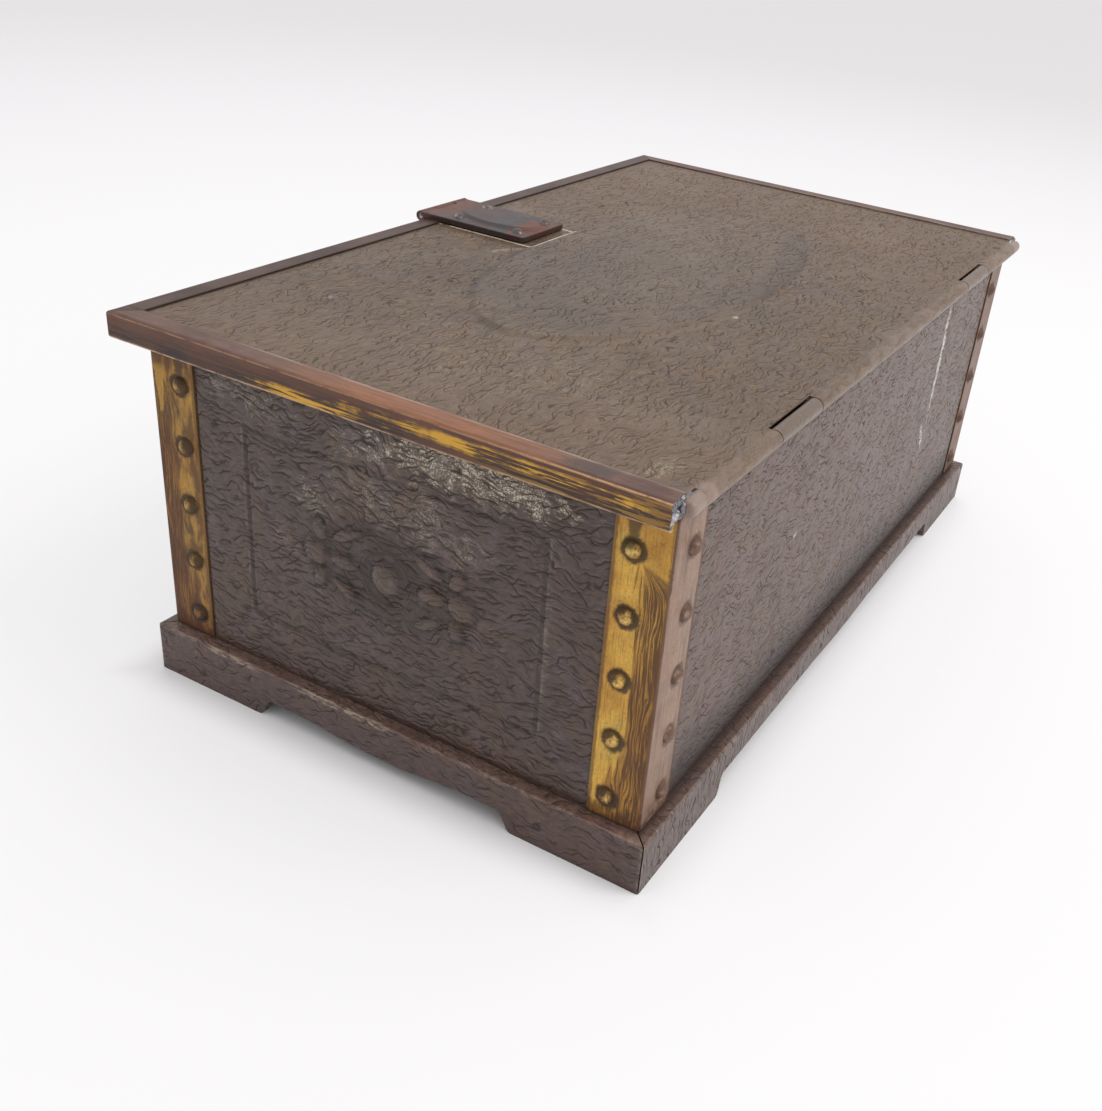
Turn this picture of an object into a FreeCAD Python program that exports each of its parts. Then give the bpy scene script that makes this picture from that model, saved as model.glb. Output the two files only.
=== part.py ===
import FreeCAD, Part

import math
import os

# A small metal storage box: tinplate walls on a cut-out plinth, studded corner straps,
# a wire-hinged lid with moulded edge trims, and a hasp that drops over a staple.
# Millimetres. X runs along the box, the hinge is on the +Y side, Z is up, and the box
# stands on Z = 0.

Vector = FreeCAD.Vector

# The whole box
body_length = 300.0
body_depth = 171.0
total_height = 121.9
sheet = 0.5
bend_radius = 0.8
overrun = 5.0

# Walls and bottom tray
wall_foot_height = 10.5
corner_relief = 0.6
hem_depth = 5.0
rim_gap = 0.2
seam_flange_width = 8.0
tray_floor_height = 11.5
tray_edge_height = 8.0
tray_corner_radius = 1.5
tray_to_seam = 1.0

# Pressed panel and rosette of the end walls
panel_half_width = 50.8
panel_half_height = 31.0
panel_corner_radius = 3.0
groove_depth = 0.5
groove_half_width = 0.9
boss_radius = 6.1
boss_height = 2.6
collar_radius = 8.8
collar_half_width = 1.0
collar_height = 0.9
rosette_reach = 30.0
lobe_height = 1.3

# Rows for the lobes right of the boss: place along and up, half length and half width, all as
# shares of the rosette's reach, then the lobe's turn in degrees. Each row is mirrored.
lobe_shares = [
    (0.51, 0.0, 0.175, 0.085, 0),
    (0.84, 0.0, 0.16, 0.15, 0),
    (0.48, 0.30, 0.19, 0.07, -28),
    (0.79, 0.26, 0.12, 0.085, 58),
]

# A lobe's sections, outside and inside: shares of its height, and of its size at that height
lobe_section_shares = [(0.0, 1.0), (0.62, 0.8), (1.0, 0.4)]
hollow_section_shares = [(0.0, 1.0), (1.0, 0.5)]

# Corner straps
strap_width = 16.2
strap_foot_gap = 0.7
strap_head_gap = 0.45
studs_per_leg = 5
stud_radius = 2.7
stud_height = 1.9
stud_dish_radius = 4.1
stud_dish_depth = 0.25
stud_inset = 11.4
stud_bottom_inset = 7.1
stud_top_inset = 11.4

# Plinth
plinth_height = 17.3
plinth_projection = 4.3
plinth_seam_gap = 0.6
plinth_flange_drop = 5.5
plinth_lip = 2.0
long_foot_share = 0.324
end_foot_share = 0.479
apron_height_long = 7.6
apron_height_end = 6.5
apron_drop_long = 0.8
apron_drop_end = 2.0
apron_drop_span = 16.0
apron_drop_run = 20.0
toe_run_long = 1.6
toe_run_end = 3.4
toe_radius = 2.2
arch_radius = 1.8
drop_radius = 30.0

# Lid
lid_end_overhang = 7.3
lid_front_overhang = 8.3
lid_skirt_height = 8.1
lid_edge_radius = 1.0
lid_rear_overhang = 1.3
oval_end_margin = 65.3
oval_hasp_gap = 1.3
oval_hinge_margin = 42.5
oval_rise = 0.8
oval_slope = 4.0
trim_flange_width = 7.0
trim_lip = 1.8

# Wire hinge
wire_radius = 1.9
wire_clearance = 0.08
hinge_wall_gap = 0.42
roll_inset = 3.7
wire_end_length = 1.0
tongue_width = 28.0
tongue_spacing = 176.0
tongue_side_gap = 0.5
tongue_wrap = 240.0
roll_wrap = 270.0
slot_under_gap = 0.8
slot_roll_cover = 0.2
joggle_height = 3.0
joggle_drop = 1.0

# Hasp plate and its rivets
hasp_offset = -1.8
hasp_half_width = 14.0
hasp_rear_inset = 43.5
hasp_plate_thickness = 1.9
hasp_corner_radius = 1.5
hasp_pad_half_width = 8.8
hasp_pad_half_length = 16.5
hasp_pad_rise = 0.9
hasp_pad_slope = 1.2
hasp_pad_setback = 24.8
rivet_radius = 1.2
rivet_head_radius = 2.2
rivet_head_height = 1.3
rivet_tail_radius = 1.8
rivet_tail_height = 0.8
rivet_fit = 0.05
hasp_rivet_spread = 9.0
hasp_rivet_front_inset = 11.8
hasp_rivet_rear_inset = 37.8

# Hasp hinge
knuckle_radius = 1.9
knuckle_rise = 0.3
knuckle_front_gap = 0.25
hasp_pin_radius = 0.95
hasp_pin_fit = 0.05
strap_knuckle_length = 11.4
knuckle_side_gap = 0.3
knuckle_notch_gap = 0.35

# Hasp strap that swings down over the staple
hasp_strap_thickness = 1.0
hasp_strap_half_width = 10.0
hasp_strap_bend = 1.2
skirt_clearance = 1.5
hasp_wall_gap = 1.0
hasp_tail_length = 23.8
hasp_shoulder_drop = 3.0
hasp_slot_width = 5.0
hasp_slot_height = 14.0
hasp_hang_angle = 14.0

# Staple and its plate
staple_wire_radius = 1.1
staple_half_span = 4.4
staple_reach = 9.5
staple_plate_thickness = 0.8
staple_plate_half_width = 17.0
staple_plate_half_height = 8.0
staple_rivet_spread = 12.8

# Rounding as shares of the edge that it rounds
hem_round_share = 0.8
tail_round_share = 0.85
slot_round_share = 0.9
plate_round_share = 0.95

# Levels and places that follow from the sizes above
half_length = body_length / 2
half_depth = body_depth / 2
lid_top = total_height - sheet
lid_underside = lid_top - sheet
wall_top = lid_underside - rim_gap
skirt_foot = total_height - lid_skirt_height
panel_height = (plinth_height + skirt_foot) / 2
lid_half_length = half_length + lid_end_overhang
lid_front = -half_depth - lid_front_overhang
trim_end = half_depth + lid_rear_overhang
plinth_half_length = half_length + plinth_projection
plinth_half_depth = half_depth + plinth_projection
wire_bore = wire_radius + wire_clearance
roll_radius = wire_bore + sheet
hinge_y = half_depth + hinge_wall_gap + roll_radius
hinge_z = lid_top - roll_radius
roll_half_length = half_length - roll_inset
strap_foot = plinth_height + strap_foot_gap
strap_head = hinge_z - roll_radius - strap_head_gap
knuckle_y = lid_front - knuckle_radius - knuckle_front_gap
knuckle_z = total_height + knuckle_rise
plate_top = total_height + hasp_plate_thickness
plate_rear = lid_front + hasp_rear_inset
oval_front = plate_rear + oval_hasp_gap
oval_rear = half_depth - oval_hinge_margin
oval_half_length = lid_half_length - oval_end_margin
oval_half_width = (oval_rear - oval_front - oval_slope) / 2
staple_face = -half_depth - staple_plate_thickness
strap_face = staple_face - hasp_wall_gap - hasp_strap_thickness
strap_jog_top = skirt_foot - skirt_clearance
strap_jog_bottom = strap_jog_top - (strap_face - (knuckle_y - knuckle_radius))
strap_tail = strap_jog_bottom - hasp_tail_length
staple_height = (strap_tail + strap_jog_bottom) / 2

X_AXIS = Vector(1, 0, 0)
Y_AXIS = Vector(0, 1, 0)
Z_AXIS = Vector(0, 0, 1)
ORIGIN = Vector(0, 0, 0)


# Building blocks

def box(x_range, y_range, z_range):
    """A block between three pairs of planes."""
    low = Vector(min(x_range), min(y_range), min(z_range))
    high = Vector(max(x_range), max(y_range), max(z_range))
    size = high - low
    return Part.makeBox(size.x, size.y, size.z, low)


def rounded_wire(corners, radii, place):
    """A closed wire through flat corners, each rounded to its own radius."""
    count = len(corners)
    starts = []
    ends = []
    middles = []
    for i in range(count):
        here = Vector(corners[i][0], corners[i][1], 0)
        back = Vector(corners[i - 1][0], corners[i - 1][1], 0) - here
        ahead = Vector(corners[(i + 1) % count][0], corners[(i + 1) % count][1], 0) - here
        back.normalize()
        ahead.normalize()
        half_angle = back.getAngle(ahead) / 2
        if not radii[i]:
            starts.append(here)
            ends.append(here)
            middles.append(None)
            continue
        reach = radii[i] / math.tan(half_angle)
        bisector = back + ahead
        bisector.normalize()
        centre_distance = radii[i] / math.sin(half_angle)
        starts.append(here + back * reach)
        ends.append(here + ahead * reach)
        middles.append(here + bisector * (centre_distance - radii[i]))
    edges = []
    for i in range(count):
        if middles[i] is not None:
            points = [place(p.x, p.y) for p in (starts[i], middles[i], ends[i])]
            edges.append(Part.Arc(*points).toShape())
        following = (i + 1) % count
        if ends[i].distanceToPoint(starts[following]) > Part.Precision.confusion():
            line = Part.LineSegment(place(ends[i].x, ends[i].y),
                                    place(starts[following].x, starts[following].y))
            edges.append(line.toShape())
    return Part.Wire(edges)


def prism(corners, radii, place, sweep):
    """A rounded flat outline pushed along a vector."""
    return Part.Face(rounded_wire(corners, radii, place)).extrude(sweep)


def strip_corners(path, thickness, bend):
    """The outline of bent sheet whose first face follows the path, thick on its left."""
    lefts = []
    for i in range(len(path)):
        here = Vector(path[i][0], path[i][1], 0)
        normals = []
        for a, b in ((i - 1, i), (i, i + 1)):
            if a < 0 or b >= len(path):
                continue
            run = Vector(path[b][0] - path[a][0], path[b][1] - path[a][1], 0)
            run.normalize()
            normals.append(Vector(-run.y, run.x, 0))
        if len(normals) == 1:
            lefts.append(here + normals[0] * thickness)
            continue
        across = normals[0] + normals[1]
        across.normalize()
        lefts.append(here + across * (thickness / across.dot(normals[0])))
    right_radii = [0]
    left_radii = [0]
    for i in range(1, len(path) - 1):
        first = (path[i][0] - path[i - 1][0], path[i][1] - path[i - 1][1])
        second = (path[i + 1][0] - path[i][0], path[i + 1][1] - path[i][1])
        turns_left = first[0] * second[1] - first[1] * second[0] > 0
        right_radii.append(bend + thickness if turns_left else bend)
        left_radii.append(bend if turns_left else bend + thickness)
    right_radii.append(0)
    left_radii.append(0)
    corners = list(path) + [(p.x, p.y) for p in reversed(lefts)]
    return corners, right_radii + left_radii[::-1]


def bent_sheet(path, thickness, bend, place, sweep):
    """Sheet of one thickness, bent along a flat path and pushed along a vector."""
    corners, radii = strip_corners(path, thickness, bend)
    return prism(corners, radii, place, sweep)


def end_view(x):
    """Places flat points, depth then height, in the plane at one x."""
    return lambda y, z: Vector(x, y, z)


def front_view(y):
    """Places flat points, length then height, in the plane at one y."""
    return lambda x, z: Vector(x, y, z)


def plan(z):
    """Places flat points in the level plane at one height."""
    return lambda x, y: Vector(x, y, z)


def ring_sector(outer, inner, centre_y, centre_z, x_range, start, sweep):
    """Sheet rolled about an axis along X: from one angle, clockwise through the sweep."""
    length = max(x_range) - min(x_range)
    face_points = []
    for radius, angle in ((outer, start), (outer, start - sweep / 2), (outer, start - sweep),
                          (inner, start - sweep), (inner, start - sweep / 2), (inner, start)):
        turn = math.radians(angle)
        face_points.append(Vector(min(x_range), centre_y + radius * math.cos(turn),
                                  centre_z + radius * math.sin(turn)))
    edges = [
        Part.Arc(face_points[0], face_points[1], face_points[2]).toShape(),
        Part.LineSegment(face_points[2], face_points[3]).toShape(),
        Part.Arc(face_points[3], face_points[4], face_points[5]).toShape(),
        Part.LineSegment(face_points[5], face_points[0]).toShape(),
    ]
    return Part.Face(Part.Wire(edges)).extrude(X_AXIS * length)


def domed_head(radius, height, depth):
    """A low dome on Z = 0 with a short root below, to be fused or seated."""
    profile = [Part.LineSegment(Vector(0, 0, -depth), Vector(radius, 0, -depth)).toShape()]
    if depth:
        side = Part.LineSegment(Vector(radius, 0, -depth), Vector(radius, 0, 0))
        profile.append(side.toShape())
    ball = (radius ** 2 + height ** 2) / (2 * height)
    half_turn = math.asin(min(1, radius / ball)) / 2
    shoulder = Vector(ball * math.sin(half_turn), 0, height - ball + ball * math.cos(half_turn))
    profile.append(Part.Arc(Vector(radius, 0, 0), shoulder, Vector(0, 0, height)).toShape())
    profile.append(Part.LineSegment(Vector(0, 0, height), Vector(0, 0, -depth)).toShape())
    return Part.Face(Part.Wire(profile)).revolve(ORIGIN, Z_AXIS, 360)


def aimed(shape, direction, point):
    """Turns a shape that points up Z to point along a direction, and moves it there."""
    moved = shape.copy()
    moved.Placement = FreeCAD.Placement(point, FreeCAD.Rotation(Z_AXIS, direction))
    return moved


def rivet(head_point, direction, grip):
    """A rivet whose dome sits at a point and whose tail is spread beyond the grip."""
    head = domed_head(rivet_head_radius, rivet_head_height, 0)
    shank = Part.makeCylinder(rivet_radius, grip, ORIGIN, -Z_AXIS)
    tail = Part.makeCylinder(rivet_tail_radius, rivet_tail_height, -Z_AXIS * grip, -Z_AXIS)
    return aimed(head.fuse([shank, tail]).removeSplitter(), direction, head_point)


def hole(point, direction, radius, depth):
    """A round cutter that runs past both ends of the depth."""
    start = point + direction * overrun
    return Part.makeCylinder(radius, depth + 2 * overrun, start, -direction)


def ellipse_frustum(centre, half_x, half_y, slope, rise):
    """A low oval rise: an ellipse that draws in by the slope over its height."""
    wires = []
    for level, change in ((0, slope / 2), (rise, -slope / 2)):
        ellipse = Part.Ellipse(centre + Z_AXIS * level, half_x + change, half_y + change)
        wires.append(Part.Wire(ellipse.toShape()))
    return Part.makeLoft(wires, True)


# Walls and bottom

def staple_holes():
    """Cutters for the staple's legs and for the rivets of its plate, along Y."""
    start = Vector(hasp_offset, -half_depth, staple_height)
    cutters = []
    for side in (-1, 1):
        leg = start + Z_AXIS * (side * staple_half_span)
        cutters.append(hole(leg, -Y_AXIS, staple_wire_radius + rivet_fit, sheet))
        pin = start + X_AXIS * (side * staple_rivet_spread)
        cutters.append(hole(pin, -Y_AXIS, rivet_radius + rivet_fit, sheet))
    return cutters


def hem(x_range, outer_y, inward):
    """The folded edge inside the top of a long wall, with a rounded crown."""
    outer = outer_y + inward * sheet
    inner = outer_y + inward * 2 * sheet
    block = box(x_range, (outer, inner), (wall_top - hem_depth, wall_top))
    edges = [e for e in block.Edges if is_edge_at(e, inner, wall_top)]
    return block.makeFillet(sheet * hem_round_share, edges)


def is_edge_at(edge, y, z):
    """True for a straight edge along X at one depth and height."""
    tolerance = Part.Precision.confusion()
    return all(abs(v.Y - y) < tolerance and abs(v.Z - z) < tolerance for v in edge.Vertexes)


def long_wall_sheet(outer_y, inward):
    """One long wall: plain sheet between the corners."""
    reach = half_length - corner_relief
    return box((-reach, reach), (outer_y, outer_y + inward * sheet), (wall_foot_height, wall_top))


def front_wall():
    """The front wall, hemmed along its top and pierced for the staple and its plate."""
    reach = half_length - corner_relief
    wall = long_wall_sheet(-half_depth, 1)
    wall = wall.fuse(hem((-reach, reach), -half_depth, 1))
    return wall.cut(staple_holes()).removeSplitter()


def tongue_ranges():
    """The stretches of X that the two hinge tongues take."""
    spans = []
    for side in (-1, 1):
        middle = side * tongue_spacing / 2
        spans.append((middle - tongue_width / 2, middle + tongue_width / 2))
    return spans


def hinge_tongue(x_range):
    """A tongue of the back wall: it joggles out, then curls over the hinge wire."""
    curl_face = hinge_y - roll_radius
    joggle_foot = hinge_z - joggle_drop - joggle_height
    path = [
        (half_depth, joggle_foot - overrun),
        (half_depth, joggle_foot),
        (curl_face + sheet, joggle_foot + joggle_height),
        (curl_face + sheet, hinge_z),
    ]
    corners, radii = strip_corners(path, sheet, sheet)
    blade = prism(corners, radii, end_view(min(x_range)), X_AXIS * (max(x_range) - min(x_range)))
    curl = ring_sector(roll_radius, wire_bore, hinge_y, hinge_z, x_range, 180, tongue_wrap)
    return blade.fuse(curl)


def back_wall():
    """The back wall, with hems between its two hinge tongues."""
    reach = half_length - corner_relief
    wall = long_wall_sheet(half_depth, -1)
    stops = [-reach]
    joggle_foot = hinge_z - joggle_drop - joggle_height
    for low, high in tongue_ranges():
        wall = wall.cut(box((low - tongue_side_gap, high + tongue_side_gap),
                            (half_depth - sheet - overrun, half_depth + overrun),
                            (joggle_foot, wall_top + overrun)))
        stops.extend([low - tongue_side_gap, high + tongue_side_gap])
    stops.append(reach)
    for low, high in zip(stops[0::2], stops[1::2]):
        wall = wall.fuse(hem((low, high), half_depth, -1))
    for span in tongue_ranges():
        wall = wall.fuse(hinge_tongue(span))
    return wall.removeSplitter()


def panel_path(x):
    """The rounded rectangle that the pressed groove follows."""
    low = panel_height - panel_half_height
    high = panel_height + panel_half_height
    corners = [(-panel_half_width, low), (panel_half_width, low),
               (panel_half_width, high), (-panel_half_width, high)]
    return rounded_wire(corners, [panel_corner_radius] * len(corners), end_view(x))


def panel_groove(x, half_width, depth):
    """A wedge-shaped bar bent along the panel's outline, its keel the depth inside one x."""
    start = Vector(x, 0, panel_height - panel_half_height)
    corners = [start - Z_AXIS * half_width, start - X_AXIS * depth,
               start + Z_AXIS * half_width, start + X_AXIS * depth]
    section = Part.makePolygon(corners + corners[:1])
    return panel_path(x).makePipeShell([section], True, False)


def lobe(half_long, half_wide, section_shares):
    """A low oval swelling on Z = 0 that draws in towards its crown."""
    wires = []
    for level_share, size_share in section_shares:
        ellipse = Part.Ellipse(Z_AXIS * (lobe_height * level_share), half_long * size_share,
                               half_wide * size_share)
        wires.append(Part.Wire(ellipse.toShape()))
    return Part.makeLoft(wires, True)


def rosette_lobes(x, inset, section_shares):
    """The rosette's lobes on the plane at one x, each drawn in all round by the inset."""
    upright = FreeCAD.Rotation(X_AXIS + Y_AXIS + Z_AXIS, 120)
    lobes = []
    for along, up, half_long, half_wide, turn in lobe_shares:
        for side in (-1, 1):
            for level in ((-1, 1) if up else (1,)):
                place = Vector(x, side * along * rosette_reach,
                               panel_height + level * up * rosette_reach)
                swelling = lobe(half_long * rosette_reach - inset,
                                half_wide * rosette_reach - inset, section_shares)
                turned_up = FreeCAD.Rotation(X_AXIS, side * level * turn)
                swelling.Placement = FreeCAD.Placement(place, turned_up * upright)
                lobes.append(swelling)
    return lobes


def rosette_boss(x, radius, root):
    """The rosette's domed middle on the plane at one x."""
    return aimed(domed_head(radius, boss_height, root), X_AXIS, Vector(x, 0, panel_height))


def rosette_collar(x):
    """The low ridge that runs round the boss."""
    corners = [Vector(collar_radius - collar_half_width, 0, 0), Vector(collar_radius, 0, collar_height),
               Vector(collar_radius + collar_half_width, 0, 0)]
    section = Part.Face(Part.makePolygon(corners + corners[:1]))
    return aimed(section.revolve(ORIGIN, Z_AXIS, 360), X_AXIS, Vector(x, 0, panel_height))


def right_end_wall():
    """The right end wall: seam flanges, a hemmed top, a pressed panel and a rosette."""
    inner = half_depth - sheet
    path = [(half_length - seam_flange_width, -inner), (half_length, -inner),
            (half_length, inner), (half_length - seam_flange_width, inner)]
    wall = bent_sheet(path, sheet, bend_radius, plan(wall_foot_height),
                      Z_AXIS * (wall_top - wall_foot_height))
    flat_half = inner - bend_radius - sheet
    reach_x = (half_length - seam_flange_width - overrun, half_length + overrun)
    seam_foot = tray_floor_height + tray_edge_height + tray_to_seam
    seam_head = wall_top - hem_depth - tray_to_seam
    for side in (-1, 1):
        beyond = (side * flat_half, side * (half_depth + overrun))
        wall = wall.cut(box(reach_x, beyond, (wall_foot_height - overrun, seam_foot)))
        wall = wall.cut(box(reach_x, beyond, (seam_head, wall_top + overrun)))
    fold = box((half_length - 2 * sheet, half_length - sheet), (-flat_half, flat_half),
               (wall_top - hem_depth, wall_top))
    wall = wall.fuse(fold)
    skin = half_length - sheet
    ridge_slab = box((skin - overrun, skin), (-inner, inner), (0, total_height))
    ridge = panel_groove(skin, groove_half_width + sheet / 2, groove_depth).common(ridge_slab)
    wall = wall.fuse(ridge).cut(panel_groove(half_length, groove_half_width, groove_depth))
    raised = rosette_lobes(half_length, 0, lobe_section_shares)
    raised.append(rosette_boss(half_length, boss_radius, sheet))
    raised.append(rosette_collar(half_length))
    wall = wall.fuse(raised)
    hollows = rosette_lobes(skin, sheet, hollow_section_shares)
    hollows.append(rosette_boss(skin, boss_radius - sheet, overrun))
    return wall.cut(hollows).removeSplitter()


def bottom_tray():
    """The bottom: a shallow pressed tray between the walls."""
    outer = box((-half_length + sheet, half_length - sheet), (-half_depth + sheet, half_depth - sheet),
                (tray_floor_height, tray_floor_height + tray_edge_height))
    inner = box((-half_length + 2 * sheet, half_length - 2 * sheet),
                (-half_depth + 2 * sheet, half_depth - 2 * sheet),
                (tray_floor_height + sheet, tray_floor_height + tray_edge_height + overrun))
    outer = round_pan(outer, tray_corner_radius)
    inner = round_pan(inner, tray_corner_radius - sheet)
    return outer.cut(inner)


def round_pan(block, radius):
    """Rounds a block's four upright edges and the rim of its lower face."""
    low = block.BoundBox.ZMin
    tolerance = Part.Precision.confusion()
    edges = []
    for edge in block.Edges:
        heights = [v.Z for v in edge.Vertexes]
        upright = max(heights) - min(heights) > tolerance
        if upright or max(heights) - low < tolerance:
            edges.append(edge)
    return block.makeFillet(radius, edges)


# Corner straps

def stud_heights():
    """The heights of the studs on one leg of a corner strap."""
    low = strap_foot + stud_bottom_inset
    high = skirt_foot - stud_top_inset
    pitch = (high - low) / (studs_per_leg - 1)
    return [low + pitch * i for i in range(studs_per_leg)]


def corner_strap():
    """The strap of the rear right corner: an angle with two rows of pressed studs."""
    path = [(half_length - strap_width, half_depth), (half_length, half_depth),
            (half_length, half_depth - strap_width)]
    strap = bent_sheet(path, sheet, corner_relief, plan(strap_foot),
                       Z_AXIS * (strap_head - strap_foot))
    stud = domed_head(stud_radius, stud_height, 0)
    dish = Part.makeCone(stud_radius, stud_dish_radius, stud_dish_depth)
    studs = []
    dishes = []
    floor = sheet - stud_dish_depth
    for z in stud_heights():
        rear = Vector(half_length + sheet - stud_inset, half_depth + floor, z)
        end = Vector(half_length + floor, half_depth + sheet - stud_inset, z)
        for point, direction in ((rear, Y_AXIS), (end, X_AXIS)):
            studs.append(aimed(stud, direction, point))
            dishes.append(aimed(dish, direction, point))
    return strap.cut(dishes).fuse(studs).removeSplitter()


# Plinth

def apron_corners(run_half, foot_share, apron_height, apron_drop, toe_run):
    """The plinth's face with its lower edge cut to bracket feet, and each corner's radius."""
    arch_half = run_half * (1 - foot_share)
    half = [
        (apron_drop_span / 2, apron_height - apron_drop, drop_radius),
        (apron_drop_span / 2 + apron_drop_run, apron_height, drop_radius),
        (arch_half - toe_run, apron_height, arch_radius),
        (arch_half, 0, toe_radius),
        (run_half + overrun, 0, 0),
        (run_half + overrun, plinth_height + overrun, 0),
    ]
    left = [(-s, z, r) for s, z, r in reversed(half)]
    whole = left + half
    return [(s, z) for s, z, r in whole], [r for s, z, r in whole]


def plinth_piece(run_half, face, apron):
    """A plinth moulding facing -Y: skirt, ledge, wall flange and turned-in lower lip."""
    corners, radii = apron_corners(run_half, *apron)
    outline = Part.Face(rounded_wire(corners, radii, front_view(-face)))
    inset = outline.makeOffset2D(-sheet)
    everything = box((-run_half, run_half), (-face, -face + plinth_projection + sheet),
                     (0, plinth_height))
    skirt = outline.extrude(Y_AXIS * sheet)
    lip = outline.extrude(Y_AXIS * plinth_lip).cut(inset.extrude(Y_AXIS * plinth_lip))
    ledge = box((-run_half, run_half), (-face, -face + plinth_projection),
                (plinth_height - sheet, plinth_height))
    wall_y = -face + plinth_projection
    flange = box((-run_half, run_half), (wall_y - sheet, wall_y),
                 (plinth_height - plinth_flange_drop, plinth_height))
    piece = skirt.fuse([lip, ledge, flange]).common(everything)
    piece = piece.removeSplitter()
    crown = [e for e in piece.Edges if is_edge_at(e, -face, plinth_height)]
    piece = piece.makeFillet(bend_radius, crown)
    return piece.common(mitre_block(run_half, face))


def mitre_block(run_half, face):
    """The room that one plinth moulding may fill: mitred ends, with a thin open seam."""
    reach = run_half - plinth_seam_gap / 2
    depth = plinth_projection + sheet
    corners = [(-reach, -face), (reach, -face), (reach - depth, -face + depth),
               (-reach + depth, -face + depth)]
    return prism(corners, [0] * len(corners), plan(0), Z_AXIS * total_height)


def turned(shape, angle):
    """A shape turned about the box's upright middle line."""
    moved = shape.copy()
    moved.rotate(ORIGIN, Z_AXIS, angle)
    return moved


# Lid

def lid_panel():
    """The lid sheet: turned-down edges, a raised oval and a rolled rear edge."""
    outer_x = lid_half_length - sheet
    outer_front = lid_front + sheet
    foot = skirt_foot + 2 * sheet
    pan = box((-outer_x, outer_x), (outer_front, trim_end), (foot, lid_top))
    pan = round_lid(pan, outer_front, lid_edge_radius)
    inside = box((-outer_x + sheet, outer_x - sheet), (outer_front + sheet, trim_end + overrun),
                 (foot - overrun, lid_underside))
    inside = round_lid(inside, outer_front + sheet, lid_edge_radius - sheet)
    panel = pan.cut(inside)
    tail = box((-roll_half_length, roll_half_length), (trim_end - overrun, hinge_y),
               (lid_underside, lid_top))
    roll = ring_sector(roll_radius, wire_bore, hinge_y, hinge_z,
                       (-roll_half_length, roll_half_length), 90, roll_wrap)
    panel = panel.fuse([tail, roll])
    middle = Vector(0, (oval_front + oval_rear) / 2, lid_underside)
    rise = ellipse_frustum(middle, oval_half_length, oval_half_width, oval_slope,
                           oval_rise + sheet)
    hollow = ellipse_frustum(middle - Z_AXIS * sheet, oval_half_length, oval_half_width,
                             oval_slope, oval_rise + sheet)
    panel = panel.fuse(rise).cut(hollow)
    roll_front = hinge_y - roll_radius
    slot_rear = hinge_y + roll_radius + overrun
    for low, high in tongue_ranges():
        span = (low - tongue_side_gap, high + tongue_side_gap)
        under = box(span, (roll_front - slot_under_gap, slot_rear),
                    (hinge_z - roll_radius - overrun, lid_underside))
        through = box(span, (roll_front + slot_roll_cover, slot_rear),
                      (lid_underside - overrun, lid_top + overrun))
        panel = panel.cut([under, through])
    holes = [hole(point, Z_AXIS, rivet_radius + rivet_fit, plate_top - lid_underside)
             for point in hasp_rivet_points()]
    return panel.cut(holes).removeSplitter()


def round_lid(block, front_y, radius):
    """Rounds a block's front and end edges along its top, and its two front uprights."""
    high = block.BoundBox.ZMax
    rear = block.BoundBox.YMax
    tolerance = Part.Precision.confusion()
    edges = []
    for edge in block.Edges:
        heights = [v.Z for v in edge.Vertexes]
        depths = [v.Y for v in edge.Vertexes]
        at_rear = min(depths) > rear - tolerance
        on_top = min(heights) > high - tolerance
        upright = max(heights) - min(heights) > tolerance
        at_front = max(depths) < front_y + tolerance
        if (on_top and not at_rear) or (upright and at_front):
            edges.append(edge)
    return block.makeFillet(radius, edges)


def trim_profile(face):
    """A trim's section facing -Y: top flange, skirt and turned-in lip."""
    return [
        (face + trim_flange_width, total_height),
        (face, total_height),
        (face, skirt_foot),
        (face + trim_lip, skirt_foot),
    ]


def trim_bar(run_low, run_high, face):
    """A length of lid trim facing -Y between two stops along X."""
    corners, radii = strip_corners(trim_profile(face), sheet, sheet)
    return prism(corners, radii, end_view(run_low), X_AXIS * (run_high - run_low))


def front_trim():
    """The front trim, mitred at both ends."""
    bar = trim_bar(-lid_half_length, lid_half_length, lid_front)
    depth = trim_flange_width + overrun
    corners = [(-lid_half_length, lid_front), (lid_half_length, lid_front),
               (lid_half_length - depth, lid_front + depth),
               (-lid_half_length + depth, lid_front + depth)]
    return bar.common(prism(corners, [0] * len(corners), plan(0), Z_AXIS * (total_height + overrun)))


def right_trim():
    """The right trim, mitred at the front and cut square at the hinge."""
    bar = turned(trim_bar(lid_front, trim_end, -lid_half_length), 90)
    depth = trim_flange_width + overrun
    corners = [(lid_half_length, lid_front), (lid_half_length, trim_end),
               (lid_half_length - depth, trim_end), (lid_half_length - depth, lid_front + depth)]
    return bar.common(prism(corners, [0] * len(corners), plan(0), Z_AXIS * (total_height + overrun)))


def hinge_wire():
    """The wire that the lid's rolled edge turns on."""
    reach = roll_half_length + wire_end_length
    return Part.makeCylinder(wire_radius, 2 * reach, Vector(-reach, hinge_y, hinge_z), X_AXIS)


# Hasp

def hasp_rivet_points():
    """Where the four rivets of the hasp plate sit, on the plate's top."""
    points = []
    for inset in (hasp_rivet_front_inset, hasp_rivet_rear_inset):
        for side in (-1, 1):
            points.append(Vector(hasp_offset + side * hasp_rivet_spread, lid_front + inset, plate_top))
    return points


def knuckle(x_range):
    """A solid barrel about the hasp pin."""
    length = max(x_range) - min(x_range)
    return Part.makeCylinder(knuckle_radius, length, Vector(min(x_range), knuckle_y, knuckle_z), X_AXIS)


def hasp_bore():
    """A cutter for the hasp pin's hole."""
    reach = hasp_half_width + overrun
    return Part.makeCylinder(hasp_pin_radius + hasp_pin_fit, 2 * reach,
                             Vector(hasp_offset - reach, knuckle_y, knuckle_z), X_AXIS)


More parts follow.
